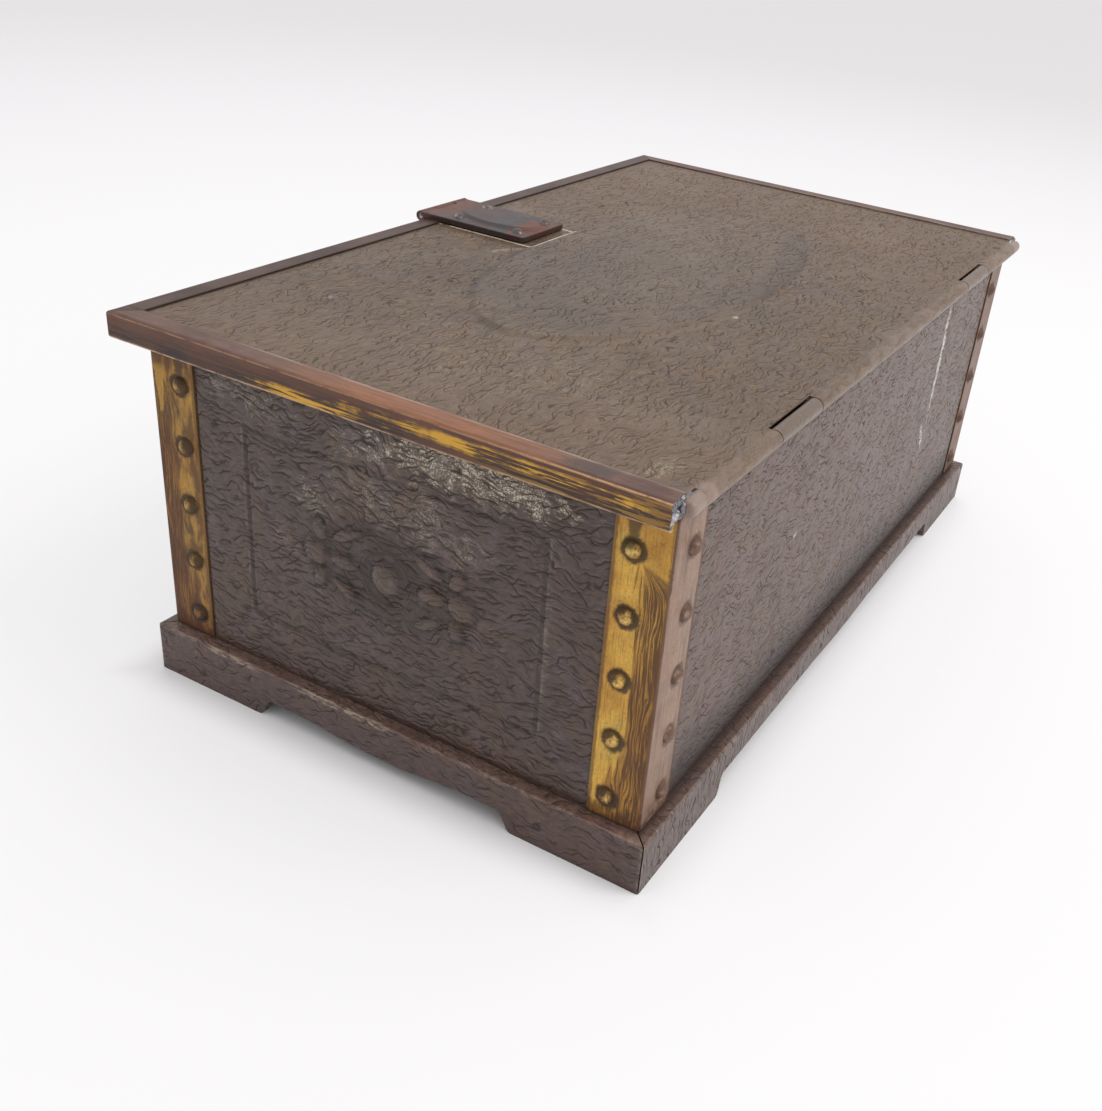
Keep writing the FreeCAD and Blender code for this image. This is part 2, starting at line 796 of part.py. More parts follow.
def hasp_plate():
    """The hasp's fixed plate: a flat bar with a soft raised oval and two knuckles."""
    low = hasp_offset - hasp_half_width
    high = hasp_offset + hasp_half_width
    corners = [(low, knuckle_y), (high, knuckle_y), (high, plate_rear), (low, plate_rear)]
    radii = [0, 0, hasp_corner_radius, hasp_corner_radius]
    plate = prism(corners, radii, plan(total_height), Z_AXIS * hasp_plate_thickness)
    plate = plate.cut(box((low - overrun, high + overrun), (knuckle_y - overrun, lid_front),
                          (total_height - overrun, total_height)))
    notch_half = strap_knuckle_length / 2 + knuckle_side_gap
    notch = box((hasp_offset - notch_half, hasp_offset + notch_half),
                (knuckle_y - knuckle_radius - overrun, knuckle_y + knuckle_radius + knuckle_notch_gap),
                (total_height - overrun, plate_top + overrun))
    plate = plate.cut(notch)
    barrels = [knuckle((low, hasp_offset - notch_half)), knuckle((hasp_offset + notch_half, high))]
    middle = Vector(hasp_offset, lid_front + hasp_pad_setback, plate_top)
    turned_oval = ellipse_frustum(ORIGIN, hasp_pad_half_length, hasp_pad_half_width,
                                  hasp_pad_slope, hasp_pad_rise)
    turned_oval.rotate(ORIGIN, Z_AXIS, 90)
    turned_oval.translate(middle)
    plate = plate.fuse(barrels + [turned_oval])
    holes = [hole(point, Z_AXIS, rivet_radius + rivet_fit, hasp_plate_thickness)
             for point in hasp_rivet_points()]
    return plate.cut(holes + [hasp_bore()]).removeSplitter()


def hasp_plate_rivets():
    """The four rivets through the hasp plate and the lid."""
    grip = plate_top - lid_underside
    return Part.makeCompound([rivet(point, Z_AXIS, grip) for point in hasp_rivet_points()])


def hasp_pin():
    """The pin through the knuckles."""
    return Part.makeCylinder(hasp_pin_radius, 2 * hasp_half_width,
                             Vector(hasp_offset - hasp_half_width, knuckle_y, knuckle_z), X_AXIS)


def hasp_strap():
    """The swinging strap: knuckle, neck, step round the lid's edge, and slotted tail."""
    barrel = knuckle((hasp_offset - strap_knuckle_length / 2, hasp_offset + strap_knuckle_length / 2))
    path = [
        (knuckle_y - knuckle_radius, knuckle_z),
        (knuckle_y - knuckle_radius, strap_jog_top),
        (strap_face, strap_jog_bottom),
        (strap_face, strap_tail),
    ]
    low = hasp_offset - hasp_strap_half_width
    blade = bent_sheet(path, hasp_strap_thickness, hasp_strap_bend, end_view(low),
                       X_AXIS * (2 * hasp_strap_half_width))
    neck = strap_knuckle_length / 2
    wide = hasp_strap_half_width
    shoulder = strap_jog_top - hasp_shoulder_drop
    corners = [(-neck, knuckle_z + overrun), (-neck, strap_jog_top), (-wide, shoulder),
               (-wide, strap_tail), (wide, strap_tail), (wide, shoulder),
               (neck, strap_jog_top), (neck, knuckle_z + overrun)]
    corners = [(hasp_offset + x, z) for x, z in corners]
    tail_radius = wide * tail_round_share
    radii = [0, 0, 0, tail_radius, tail_radius, 0, 0, 0]
    outline = prism(corners, radii, front_view(knuckle_y - overrun),
                    Y_AXIS * (lid_front_overhang + 2 * overrun))
    strap = blade.common(outline).fuse(barrel)
    half_slot = hasp_slot_width / 2
    slot_corners = [(hasp_offset - half_slot, staple_height - hasp_slot_height / 2),
                    (hasp_offset + half_slot, staple_height - hasp_slot_height / 2),
                    (hasp_offset + half_slot, staple_height + hasp_slot_height / 2),
                    (hasp_offset - half_slot, staple_height + hasp_slot_height / 2)]
    slot_radius = half_slot * slot_round_share
    slot = prism(slot_corners, [slot_radius] * len(slot_corners),
                 front_view(strap_face - overrun), Y_AXIS * (2 * overrun))
    strap = strap.cut([slot, hasp_bore()]).removeSplitter()
    strap.rotate(Vector(0, knuckle_y, knuckle_z), X_AXIS, -hasp_hang_angle)
    return strap


# Staple

def staple_plate():
    """The staple's backing plate on the front wall, round at both ends."""
    low = hasp_offset - staple_plate_half_width
    high = hasp_offset + staple_plate_half_width
    bottom = staple_height - staple_plate_half_height
    top = staple_height + staple_plate_half_height
    corners = [(low, bottom), (high, bottom), (high, top), (low, top)]
    radius = staple_plate_half_height * plate_round_share
    plate = prism(corners, [radius] * len(corners), front_view(staple_face),
                  Y_AXIS * staple_plate_thickness)
    return plate.cut(staple_holes())


def staple():
    """A wire staple: two legs through plate and wall, their ends spread inside."""
    tip = -half_depth - staple_reach + staple_wire_radius
    bow = tip + staple_half_span
    leg_end = -half_depth + sheet
    low = Vector(hasp_offset, leg_end, staple_height - staple_half_span)
    high = Vector(hasp_offset, leg_end, staple_height + staple_half_span)
    low_bow = Vector(low.x, bow, low.z)
    high_bow = Vector(high.x, bow, high.z)
    path = Part.Wire([
        Part.LineSegment(low, low_bow).toShape(),
        Part.Arc(low_bow, Vector(low.x, tip, staple_height), high_bow).toShape(),
        Part.LineSegment(high_bow, high).toShape(),
    ])
    section = Part.Wire(Part.Circle(low, Y_AXIS, staple_wire_radius).toShape())
    loop = path.makePipeShell([section], True, False)
    ends = [Part.makeCylinder(rivet_tail_radius, rivet_tail_height, point, Y_AXIS)
            for point in (low, high)]
    return loop.fuse(ends).removeSplitter()


def staple_plate_rivets():
    """The two rivets through the staple's plate and the front wall."""
    grip = staple_plate_thickness + sheet
    rivets = []
    for side in (-1, 1):
        point = Vector(hasp_offset + side * staple_rivet_spread, staple_face, staple_height)
        rivets.append(rivet(point, -Y_AXIS, grip))
    return Part.makeCompound(rivets)


# The whole assembly

def build():
    """Every node of the box, by name, still centred on the body."""
    right_end = right_end_wall()
    rear_right = corner_strap()
    front_right = rear_right.mirror(ORIGIN, Y_AXIS)
    long_plinth = plinth_piece(plinth_half_length, plinth_half_depth,
                               (long_foot_share, apron_height_long, apron_drop_long, toe_run_long))
    end_plinth = plinth_piece(plinth_half_depth, plinth_half_length,
                              (end_foot_share, apron_height_end, apron_drop_end, toe_run_end))
    right_edge = right_trim()
    return {
        "body_front_wall": front_wall(),
        "body_back_wall": back_wall(),
        "body_right_end_wall": right_end,
        "body_left_end_wall": right_end.mirror(ORIGIN, X_AXIS),
        "body_bottom": bottom_tray(),
        "corner_strap_rear_right": rear_right,
        "corner_strap_front_right": front_right,
        "corner_strap_rear_left": rear_right.mirror(ORIGIN, X_AXIS),
        "corner_strap_front_left": front_right.mirror(ORIGIN, X_AXIS),
        "plinth_front": long_plinth,
        "plinth_back": turned(long_plinth, 180),
        "plinth_right": turned(end_plinth, 90),
        "plinth_left": turned(end_plinth, -90),
        "hinge_wire": hinge_wire(),
        "lid_panel": lid_panel(),
        "lid_front_trim": front_trim(),
        "lid_right_trim": right_edge,
        "lid_left_trim": right_edge.mirror(ORIGIN, X_AXIS),
        "hasp_plate": hasp_plate(),
        "hasp_plate_rivets": hasp_plate_rivets(),
        "hasp_pin": hasp_pin(),
        "hasp_strap": hasp_strap(),
        "staple_plate": staple_plate(),
        "staple": staple(),
        "staple_plate_rivets": staple_plate_rivets(),
    }


def centring_shift(pieces):
    """How far the pieces move along Y so that the origin lies under the box's middle."""
    reach = FreeCAD.BoundBox()
    for shape in pieces.values():
        reach.add(shape.optimalBoundingBox(False))
    return Vector(0, -(reach.YMin + reach.YMax) / 2, 0)


pieces = build()
shift = centring_shift(pieces)
os.makedirs("parts", exist_ok=True)
for name, shape in pieces.items():
    shape.translate(shift)
    shape.exportStep("parts/" + name + ".step")
    print(name, shape.isValid(), len(shape.Solids), round(shape.Volume, 1))
print("shift along y", round(shift.y, 4))
print("hinge axis", round(hinge_y + shift.y, 4), round(hinge_z, 4))
print("hasp axis", round(knuckle_y + shift.y, 4), round(knuckle_z, 4))
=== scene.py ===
import math

import bmesh
import bpy
from mathutils import Matrix, Vector, noise


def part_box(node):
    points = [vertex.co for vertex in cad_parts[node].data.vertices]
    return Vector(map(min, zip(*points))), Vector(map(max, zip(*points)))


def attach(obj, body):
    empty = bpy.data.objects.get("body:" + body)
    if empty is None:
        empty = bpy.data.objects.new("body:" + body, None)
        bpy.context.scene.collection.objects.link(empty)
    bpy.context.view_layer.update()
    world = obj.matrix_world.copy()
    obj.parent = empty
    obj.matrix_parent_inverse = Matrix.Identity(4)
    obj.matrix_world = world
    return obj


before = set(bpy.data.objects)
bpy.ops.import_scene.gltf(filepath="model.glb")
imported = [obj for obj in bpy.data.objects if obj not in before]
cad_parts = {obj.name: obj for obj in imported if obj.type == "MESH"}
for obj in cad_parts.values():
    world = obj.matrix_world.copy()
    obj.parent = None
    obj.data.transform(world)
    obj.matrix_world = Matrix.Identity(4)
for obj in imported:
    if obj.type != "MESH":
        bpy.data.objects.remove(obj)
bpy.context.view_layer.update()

# A small tinplate storage box: dark lacquer pressed with short wandering grooves, gold corner
# straps, copper coloured lid trims. The frame is in metres, and the patterns are in millimetres.

MM = 0.001

# Places and sizes of the box in millimetres. The patterns count y from MIDDLE_Y, the middle.
# An OUT is how far a piece stands out from the walls' faces.
MIDDLE_Y = (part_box("plinth_back")[1].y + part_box("plinth_front")[0].y) / 2 / MM
END_FACE, BACK_FACE = 150.0, 85.5
PLINTH_OUT, PLINTH_CROWN = 4.3, 17.0
TONGUE_FOOT = 115.2
LID_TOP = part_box("lid_right_trim")[1].z / MM
TRIM_OUT, FRONT_TRIM_OUT, TRIM_FLANGE = 7.3, 8.3, 7.0
ROLL_OUT = 5.3
STRAP_OUT, STUD_INSET = 0.5, 10.9
STUD_LEVELS = (25.1, 102.4)
STUD_STEP = (STUD_LEVELS[1] - STUD_LEVELS[0]) / 4
PANEL_LEVEL, PANEL_HALF_WIDTH, PANEL_HALF_HEIGHT = 65.55, 50.8, 31.0
BOSS_RADIUS = 6.1
# Each lobe of the rosette: centre, half lengths and turn in degrees, in one quarter of it
LOBES = [((15.3, 0.0), (5.25, 2.55), 0.0), ((25.2, 0.0), (4.8, 4.5), 0.0),
         ((14.4, 9.0), (5.7, 2.1), -28.0), ((23.7, 7.8), (3.6, 2.55), 58.0)]
ROSETTE_HALF_SIZE = (33.0, 19.0, 1.0)
OVAL_HALF_LENGTH, OVAL_HALF_WIDTH, OVAL_Y = 92.0, 44.0, -3.0
HASP_X, HASP_HALF_WIDTH, HASP_REAR = -1.8, 14.0, -45.7


def paint(red, green, blue):
    """A colour read off in 0 to 255 steps, as the linear colour that Blender wants."""
    def linear(step):
        share = step / 255
        return share / 12.92 if share <= 0.04045 else ((share + 0.055) / 1.055) ** 2.4
    return (linear(red), linear(green), linear(blue), 1.0)


# Short calls for laying out nodes

class Bench:
    """Lays out the nodes of one material, node group or geometry tree."""

    def __init__(self, tree):
        self.tree = tree

    def put(self, kind, feeds=None, result=0, **settings):
        """Adds a node, feeds its inputs and gives one of its outputs."""
        node = self.tree.nodes.new(kind)
        for name, value in settings.items():
            setattr(node, name, value)
        for key, value in (feeds or {}).items():
            self.feed(node.inputs[key], value)
        return node.outputs[result]

    def feed(self, socket, value):
        if isinstance(value, bpy.types.NodeSocket):
            self.tree.links.new(value, socket)
        else:
            socket.default_value = value

    def math(self, operation, *values):
        return self.put("ShaderNodeMath", dict(enumerate(values)), operation=operation)

    def add(self, *values):
        return self.math("ADD", *values)

    def times(self, *values):
        return self.math("MULTIPLY", *values)

    def most(self, *values):
        return self.math("MAXIMUM", *values)

    def least(self, *values):
        return self.math("MINIMUM", *values)

    def less(self, value, taken):
        return self.math("SUBTRACT", value, taken)

    def rest(self, taken):
        """What is left of 1."""
        return self.less(1.0, taken)

    def over(self, value, divisor):
        return self.math("DIVIDE", value, divisor)

    def absolute(self, value):
        return self.math("ABSOLUTE", value)

    def vector(self, operation, *values):
        result = "Value" if operation in ("LENGTH", "DISTANCE", "DOT_PRODUCT") else "Vector"
        feeds = dict(enumerate(values))
        return self.put("ShaderNodeVectorMath", feeds, result, operation=operation)

    def length(self, point):
        return self.vector("LENGTH", point)

    def dot(self, *points):
        return self.vector("DOT_PRODUCT", *points)

    def scaled(self, point, share):
        """A point or a colour times share. A plain colour drops its fourth number."""
        if isinstance(point, tuple):
            point = point[:3]
        return self.put("ShaderNodeVectorMath", {0: point, "Scale": share}, operation="SCALE")

    def parts(self, point):
        return self.put("ShaderNodeSeparateXYZ", {0: point}).node.outputs

    def axes(self, point):
        """The parts of a point by the names x, y and z."""
        return dict(zip("xyz", self.parts(point)))

    def joined(self, x, y, z):
        return self.put("ShaderNodeCombineXYZ", {0: x, 1: y, 2: z})

    def ramp(self, value, low, high, start=0.0, end=1.0):
        """Eases from start at low to end at high, and stays there beyond both."""
        feeds = {"Value": value, "From Min": low, "From Max": high, "To Min": start, "To Max": end}
        return self.put("ShaderNodeMapRange", feeds, interpolation_type="SMOOTHSTEP")

    def band(self, value, low, high, soft):
        """1 between low and high, fading over soft on either side."""
        return self.times(self.ramp(value, low - soft, low), self.ramp(value, high + soft, high))

    def noise(self, point, size=1.0, detail=2.0, roughness=0.5):
        scale = self.over(1.0, size) if isinstance(size, bpy.types.NodeSocket) else 1 / size
        feeds = {"Vector": point, "Scale": scale, "Detail": detail, "Roughness": roughness}
        return self.put("ShaderNodeTexNoise", feeds, "Fac")

    def wave(self, *values):
        """Noise that swings about 0."""
        return self.less(self.noise(*values), 0.5)

    def mixed(self, share, first, second):
        feeds = {"Factor": share, 6: first, 7: second}
        return self.put("ShaderNodeMix", feeds, 2, data_type="RGBA")

    def between(self, share, first, second):
        feeds = {"Factor": share, 2: first, 3: second}
        return self.put("ShaderNodeMix", feeds, 0)

    def use(self, group, feeds, result=0):
        """Lays in a group. Without a result it gives all the outputs, by name."""
        node = self.tree.nodes.new("ShaderNodeGroup")
        node.node_tree = group
        for key, value in feeds.items():
            self.feed(node.inputs[key], value)
        return node.outputs if result is None else node.outputs[result]


def new_group(name, inputs, outputs, make, kind="ShaderNodeTree"):
    """A node group. make(bench, inputs) returns what goes to the outputs."""
    tree = bpy.data.node_groups.new(name, kind)
    for label, socket, start in inputs:
        item = tree.interface.new_socket(label, in_out="INPUT", socket_type="NodeSocket" + socket)
        if start is not None:
            item.default_value = start
    for label, socket in outputs:
        tree.interface.new_socket(label, in_out="OUTPUT", socket_type="NodeSocket" + socket)
    bench = Bench(tree)
    given = tree.nodes.new("NodeGroupInput")
    taken = tree.nodes.new("NodeGroupOutput")
    for socket, value in zip(taken.inputs, make(bench, given.outputs)):
        bench.feed(socket, value)
    return tree


# Patterns that more than one finish uses

# Three sets of grooves: a shift between their patterns, the slant of their run, how much wider
# apart they lie, and what is added to the share of them that is kept
GROOVE_SETS = ((0.0, 0.0, 1.0, 0.0), (57.0, 0.2, 1.4, -0.03), (91.0, -0.24, 1.7, -0.03))


def worm_tracks(b, point, fineness, spacing, line, keep):
    """Short wandering grooves, their shoulders and the fine ripples between them.
    Point is along, across and a seed, in millimetres."""
    point = b.scaled(point, fineness)
    tracks, shoulders, ripples = 0.0, 0.0, None
    for shift, slant, gap, share in GROOVE_SETS:
        moved = b.vector("ADD", point, (shift, shift * 0.7, shift * 0.3))
        along, across, seed = b.parts(moved)
        sway = b.times(b.wave(moved, 27.0, 1.0), 16.0)
        sway = b.add(sway, b.times(b.wave(moved, 7.0, 1.0), 6.5))
        sway = b.add(sway, b.times(b.wave(moved, 2.8, 1.0), 1.9))
        level = b.add(b.add(across, b.times(along, slant)), sway)
        run = b.over(level, b.times(spacing, gap))
        row = b.math("FLOOR", run)
        off = b.absolute(b.less(b.math("FRACT", run), 0.5))
        stroke = b.joined(b.add(b.times(along, 0.16), b.times(row, 7.31)), b.times(row, 1.71), seed)
        kept = b.ramp(b.add(b.noise(stroke, 1.0, 1.0), b.add(keep, share)), 0.93, 1.16)
        wide = b.over(b.times(line, b.add(0.45, kept)), gap)
        tracks = b.most(tracks, b.times(b.ramp(off, b.times(wide, 0.2), wide, 1.0, 0.0), kept))
        shoulders = b.most(shoulders, b.times(b.ramp(off, 0.0, b.times(wide, 2.6), 1.0, 0.0), kept))
        ripples = ripples or b.noise(b.joined(b.times(along, 0.3), level, seed), 0.8, 3.0, 0.6)
    return tracks, shoulders, ripples


def make_tracks(b, given):
    """The worm tracks as a material reads them."""
    tracks, shoulders, ripples = worm_tracks(
        b, given["Point"], given["Fineness"], given["Spacing"], given["Line"], given["Keep"])
    height = b.add(b.times(shoulders, -0.45), b.times(tracks, -0.5))
    height = b.add(height, b.times(ripples, 0.7))
    return tracks, height, b.most(b.less(shoulders, b.times(tracks, 1.4)), 0.0), ripples


WORM_TRACKS = new_group(
    "worm_tracks",
    [("Point", "Vector", None), ("Fineness", "Float", 1.0), ("Spacing", "Float", 2.0),
     ("Line", "Float", 0.13), ("Keep", "Float", 0.5)],
    [("Groove", "Float"), ("Height", "Float"), ("Shoulder", "Float"), ("Ripple", "Float")],
    make_tracks)


def make_patch(b, given):
    """A worn patch with a ragged edge: an ellipse in the plane of along and across."""
    off = b.vector("SUBTRACT", given["Point"], given["Centre"])
    turned = b.put("ShaderNodeVectorRotate", {"Vector": off, "Angle": given["Turn"]},
                   rotation_type="Z_AXIS")
    flat = b.vector("MULTIPLY", turned, (1.0, 1.0, 0.0))
    reach = b.length(b.vector("DIVIDE", flat, given["Size"]))
    ragged = b.noise(given["Point"], given["Grain"], 4.0, 0.65)
    ragged = b.times(b.less(ragged, 0.5), given["Ragged"])
    return (b.ramp(b.add(reach, ragged), 1.1, 0.4),)


WORN_PATCH = new_group(
    "worn_patch",
    [("Point", "Vector", None), ("Centre", "Vector", None), ("Size", "Vector", (1, 1, 1)),
     ("Turn", "Float", 0.0), ("Grain", "Float", 3.0), ("Ragged", "Float", 3.0)],
    [("Mask", "Float")], make_patch)


def make_streaks(b, given):
    """Grain drawn out along the first axis, as in lacquer rubbed off along a strip."""
    drawn = b.vector("MULTIPLY", given["Point"], (0.09, 1.0, 1.0))
    sway = b.noise(b.vector("MULTIPLY", given["Point"], (0.05, 0.3, 0.3)), 1.0, 1.0, 0.5)
    drawn = b.vector("ADD", drawn, b.scaled((1.0, 1.6, 1.6), sway))
    grain = b.noise(drawn, given["Size"], 5.0, 0.62)
    share = b.ramp(grain, given["Level"], b.add(given["Level"], 0.055))
    return share, grain


STREAKS = new_group(
    "rubbed_streaks",
    [("Point", "Vector", None), ("Size", "Float", 1.2), ("Level", "Float", 0.5)],
    [("Mask", "Float"), ("Grain", "Float")], make_streaks)


def make_grime(b, given):
    """Broad stains in two tints and fine specks over a colour."""
    broad = b.noise(given["Point"], 26.0, 4.0, 0.6)
    middle = b.noise(b.vector("ADD", given["Point"], (70.0, 11.0, 5.0)), 7.0, 4.0, 0.62)
    other = b.noise(b.vector("ADD", given["Point"], (9.0, 51.0, 17.0)), 13.0, 3.0, 0.6)
    fine = b.noise(given["Point"], 0.8, 4.0, 0.7)
    colour = b.mixed(b.times(b.ramp(broad, 0.42, 0.66), given["Stain share"]),
                     given["Colour"], given["Stain"])
    colour = b.mixed(b.times(b.ramp(other, 0.5, 0.68), given["Stain share"]),
                     colour, given["Bloom"])
    light = b.add(b.times(middle, 0.45), b.times(fine, 0.55))
    light = b.add(1.0, b.times(b.less(light, 0.5), given["Contrast"]))
    return b.scaled(colour, light), middle, fine


GRIME = new_group(
    "stains_and_specks",
    [("Point", "Vector", None), ("Colour", "Color", None), ("Stain", "Color", None),
     ("Bloom", "Color", None), ("Stain share", "Float", 0.5), ("Contrast", "Float", 0.6)],
    [("Colour", "Color"), ("Middle", "Float"), ("Fine", "Float")], make_grime)


# Materials

def new_material(name):
    """A material's bench, its shader node, and the place on the box in millimetres."""
    material = bpy.data.materials.new(name)
    material.use_nodes = True
    bench = Bench(material.node_tree)
    shader = next(n for n in material.node_tree.nodes if n.type == "BSDF_PRINCIPLED")
    place = bench.put("ShaderNodeTexCoord", result="Object")
    place = bench.put("ShaderNodeMapping", {
        "Vector": place, "Location": (0.0, -MIDDLE_Y, 0.0), "Scale": (1 / MM,) * 3})
    return material, bench, shader, place


def finish_material(bench, shader, colour, roughness, metallic, height, depth):
    """Feeds the shader. Depth is how many metres one unit of height stands for."""
    bench.feed(shader.inputs["Base Color"], colour)
    bench.feed(shader.inputs["Roughness"], roughness)
    bench.feed(shader.inputs["Metallic"], metallic)
    bump = bench.put("ShaderNodeBump", {"Height": height, "Distance": depth, "Strength": 1.0})
    bench.feed(shader.inputs["Normal"], bump)


def face_point(b, place, plane, seed):
    """A point of a face as along, across and a seed. It runs on over a ledge or a rolled edge."""
    axes = b.axes(place)
    if plane == "xy":
        return b.joined(axes["x"], b.less(axes["y"], axes["z"]), seed)
    rise = b.less(axes["z"], b.absolute(axes["x" if plane == "yz" else "y"]))
    if plane == "zx":
        return b.joined(rise, axes["x"], seed)
    return b.joined(axes[plane[0]], rise, seed)


def inner_side(b, axes, plane):
    """1 on the plain tinned side of a sheet, which faces into the box."""
    facing = b.axes(b.put("ShaderNodeTexCoord", result="Normal"))
    out = {"yz": "x", "xz": "y", "zx": "y", "xy": "z"}[plane]
    inner = b.ramp(b.times(facing[out], b.math("SIGN", axes[out])), -0.1, -0.5)
    if plane == "xy":
        rolled = b.ramp(axes["y"], BACK_FACE + 0.5, BACK_FACE + 1.5)
    else:
        rolled = b.ramp(axes["z"], TONGUE_FOOT - 0.6, TONGUE_FOOT)
    return b.times(inner, b.rest(rolled))


def lacquer(name, plane, seed, base, stain, bloom, groove, fineness=1.0, keep=0.5, patches=(),
            marks=None, depth=0.00024, roughness=0.36, contrast=1.8, cut_share=0.72):
    """Dark lacquer pressed with worm tracks. Plane names the axes along and across a face.
    Patches are rubbed places. marks(bench, axes) gives where the relief is calm, and the tinted
    marks that lie over it."""
    material, b, shader, place = new_material(name)
    axes = b.axes(place)
    flat = b.joined(axes[plane[0]], axes[plane[1]], seed)
    tracks = b.use(WORM_TRACKS, {"Point": face_point(b, place, plane, seed),
                                 "Fineness": fineness, "Keep": keep}, None)
    grime = b.use(GRIME, {
        "Point": b.vector("ADD", place, (seed, 0.0, 0.0)), "Colour": base, "Stain": stain,
        "Bloom": bloom, "Stain share": 0.7, "Contrast": contrast}, None)
    calm, tints = marks(b, axes) if marks else (0.0, [])
    cut = b.times(tracks["Groove"], b.rest(calm))
    # Fine ripples lighten and darken the colour: painted shading of their relief. The grooves'
    # shoulders are lightened: a painted highlight on their edges.
    colour = b.scaled(grime["Colour"], b.add(1.0, b.times(b.less(tracks["Ripple"], 0.5), 2.2)))
    colour = b.mixed(b.times(tracks["Shoulder"], 0.4), colour, b.scaled(colour, 1.6))
    sand = b.add(b.times(tracks["Ripple"], 0.5), b.noise(flat, 0.45, 3.0, 0.7))
    crest = b.rest(b.most(cut, b.times(tracks["Shoulder"], 0.7)))
    crest = b.times(crest, b.ramp(sand, 0.75, 0.87))
    crest = b.times(crest, b.ramp(b.noise(flat, 9.0, 3.0, 0.6), 0.34, 0.6, 0.25, 1.0))
    bare = 0.0
    for centre, size, turn, tint, share in patches:
        mask = b.use(WORN_PATCH, {"Point": flat, "Centre": centre + (0.0,), "Size": size + (1.0,),
                                  "Turn": turn, "Grain": 4.0, "Ragged": 2.4})
        mask = b.least(b.times(b.times(mask, b.add(crest, 0.06)), share), 1.0)
        colour = b.mixed(mask, colour, tint)
        bare = b.most(bare, mask)
    for mask, tint in tints:
        colour = b.mixed(mask, colour, tint)
    colour = b.mixed(b.times(cut, cut_share), colour, groove)
    dust = b.ramp(b.noise(flat, 0.55, 2.0, 0.5), 0.74, 0.8)
    colour = b.mixed(b.times(dust, 0.4), colour, paint(176, 168, 158))
    inner = inner_side(b, axes, plane)
    tin = b.mixed(b.ramp(grime["Middle"], 0.35, 0.75), paint(114, 107, 100), paint(98, 88, 78))
    colour = b.mixed(inner, colour, b.scaled(tin, b.add(0.75, b.times(grime["Fine"], 0.5))))
    rough = b.add(roughness, b.times(b.less(grime["Middle"], 0.5), 0.3))
    rough = b.add(rough, b.times(cut, 0.35))
    rough = b.less(b.add(rough, b.times(bare, 0.12)), b.times(calm, 0.08))
    height = b.add(tracks["Height"], b.times(grime["Fine"], 0.3))
    height = b.times(height, b.rest(b.times(calm, 0.8)))
    metallic = b.times(bare, 0.3) if patches else 0.0
    finish_material(b, shader, colour, rough, metallic, height, depth)
    return material


def rosette_marks(b, axes):
    """The boss rubbed smooth and lighter, also a painted highlight; dirt round boss and lobes, the
    lobes' tops lighter, partly a painted highlight; the panel line darkened; painted shadow under
    the trims and beside the straps, and darker at the foot.
    """
    across = b.absolute(axes["y"])
    up = b.less(axes["z"], PANEL_LEVEL)
    both = b.absolute(up)
    place = b.joined(across, both, 0.0)
    rough = b.wave(b.joined(axes["y"], axes["z"], 3.0), 3.0, 4.0, 0.65)
    boss = b.add(b.length(place), b.times(rough, 2.4))
    dirt = b.times(b.band(boss, BOSS_RADIUS - 0.2, BOSS_RADIUS + 0.9, 1.0), 0.8)
    around = 9.0
    for centre, size, turn in LOBES:
        off = b.vector("SUBTRACT", place, centre + (0.0,))
        off = b.put("ShaderNodeVectorRotate", {"Vector": off, "Angle": math.radians(-turn)},
                    rotation_type="Z_AXIS")
        reach = b.length(b.vector("DIVIDE", off, size + (1.0,)))
        around = b.least(around, b.add(reach, b.times(rough, 1.5)))
    lobed = b.length(b.vector("DIVIDE", place, ROSETTE_HALF_SIZE))
    field = b.ramp(b.add(lobed, b.times(rough, 0.8)), 1.0, 0.7)
    dirt = b.most(dirt, b.times(b.band(around, 1.0, 1.25, 0.25), 0.95))
    dirt = b.most(dirt, b.times(b.times(field, b.ramp(around, 0.9, 1.3)), 0.62))
    smooth = b.ramp(boss, BOSS_RADIUS - 0.9, BOSS_RADIUS - 2.5)
    beside, beyond = b.less(across, PANEL_HALF_WIDTH), b.less(both, PANEL_HALF_HEIGHT)
    side = b.times(b.band(beside, -0.5, 0.5, 0.5), b.ramp(beyond, 0.6, -0.4))
    level = b.times(b.band(beyond, -0.5, 0.5, 0.5), b.ramp(beside, 0.8, -0.2))
    line = b.most(b.times(side, 0.6), b.times(level, 0.4))
    worn = b.ramp(b.noise(b.joined(0.0, axes["z"], 8.0), 8.0, 4.0, 0.6), 0.42, 0.62)
    pale_side = b.times(b.times(b.band(beside, 1.1, 1.5, 0.3), b.ramp(beyond, 0.6, -0.4)), worn)
    # The foot is darker; the head, just under the trims' skirts, and the rim beside the straps get
    # painted shadow.
    foot = b.ramp(axes["z"], PLINTH_CROWN + 3.0, PLINTH_CROWN + 0.8)
    head = b.most(b.times(foot, 0.2), b.ramp(axes["z"], 111.5, 114.0))
    rim = b.most(b.ramp(across, BACK_FACE - 17.3, BACK_FACE - 15.9), head)
    brown = paint(42, 32, 26)
    specks = b.noise(b.joined(axes["y"], axes["z"], 5.0), 1.8, 4.0, 0.6)
    dirt = b.times(dirt, b.ramp(specks, 0.3, 0.5, 0.4, 0.95))
    lobes = b.ramp(around, 1.05, 0.75)
    # The boss lighter: rubbed smooth and a painted highlight. The lobes' tops lighter, partly a
    # painted highlight.
    return b.most(b.times(smooth, 0.6), b.times(lobes, 0.3)), [
        (b.times(smooth, 0.7), paint(120, 102, 88)),
        (b.times(b.ramp(around, 0.85, 0.3), 0.22), paint(106, 90, 80)),
        (b.times(dirt, 0.85), brown), (b.times(line, 0.8), brown),
        (b.times(pale_side, 0.25), paint(150, 138, 126)), (b.times(rim, 0.55), brown)]


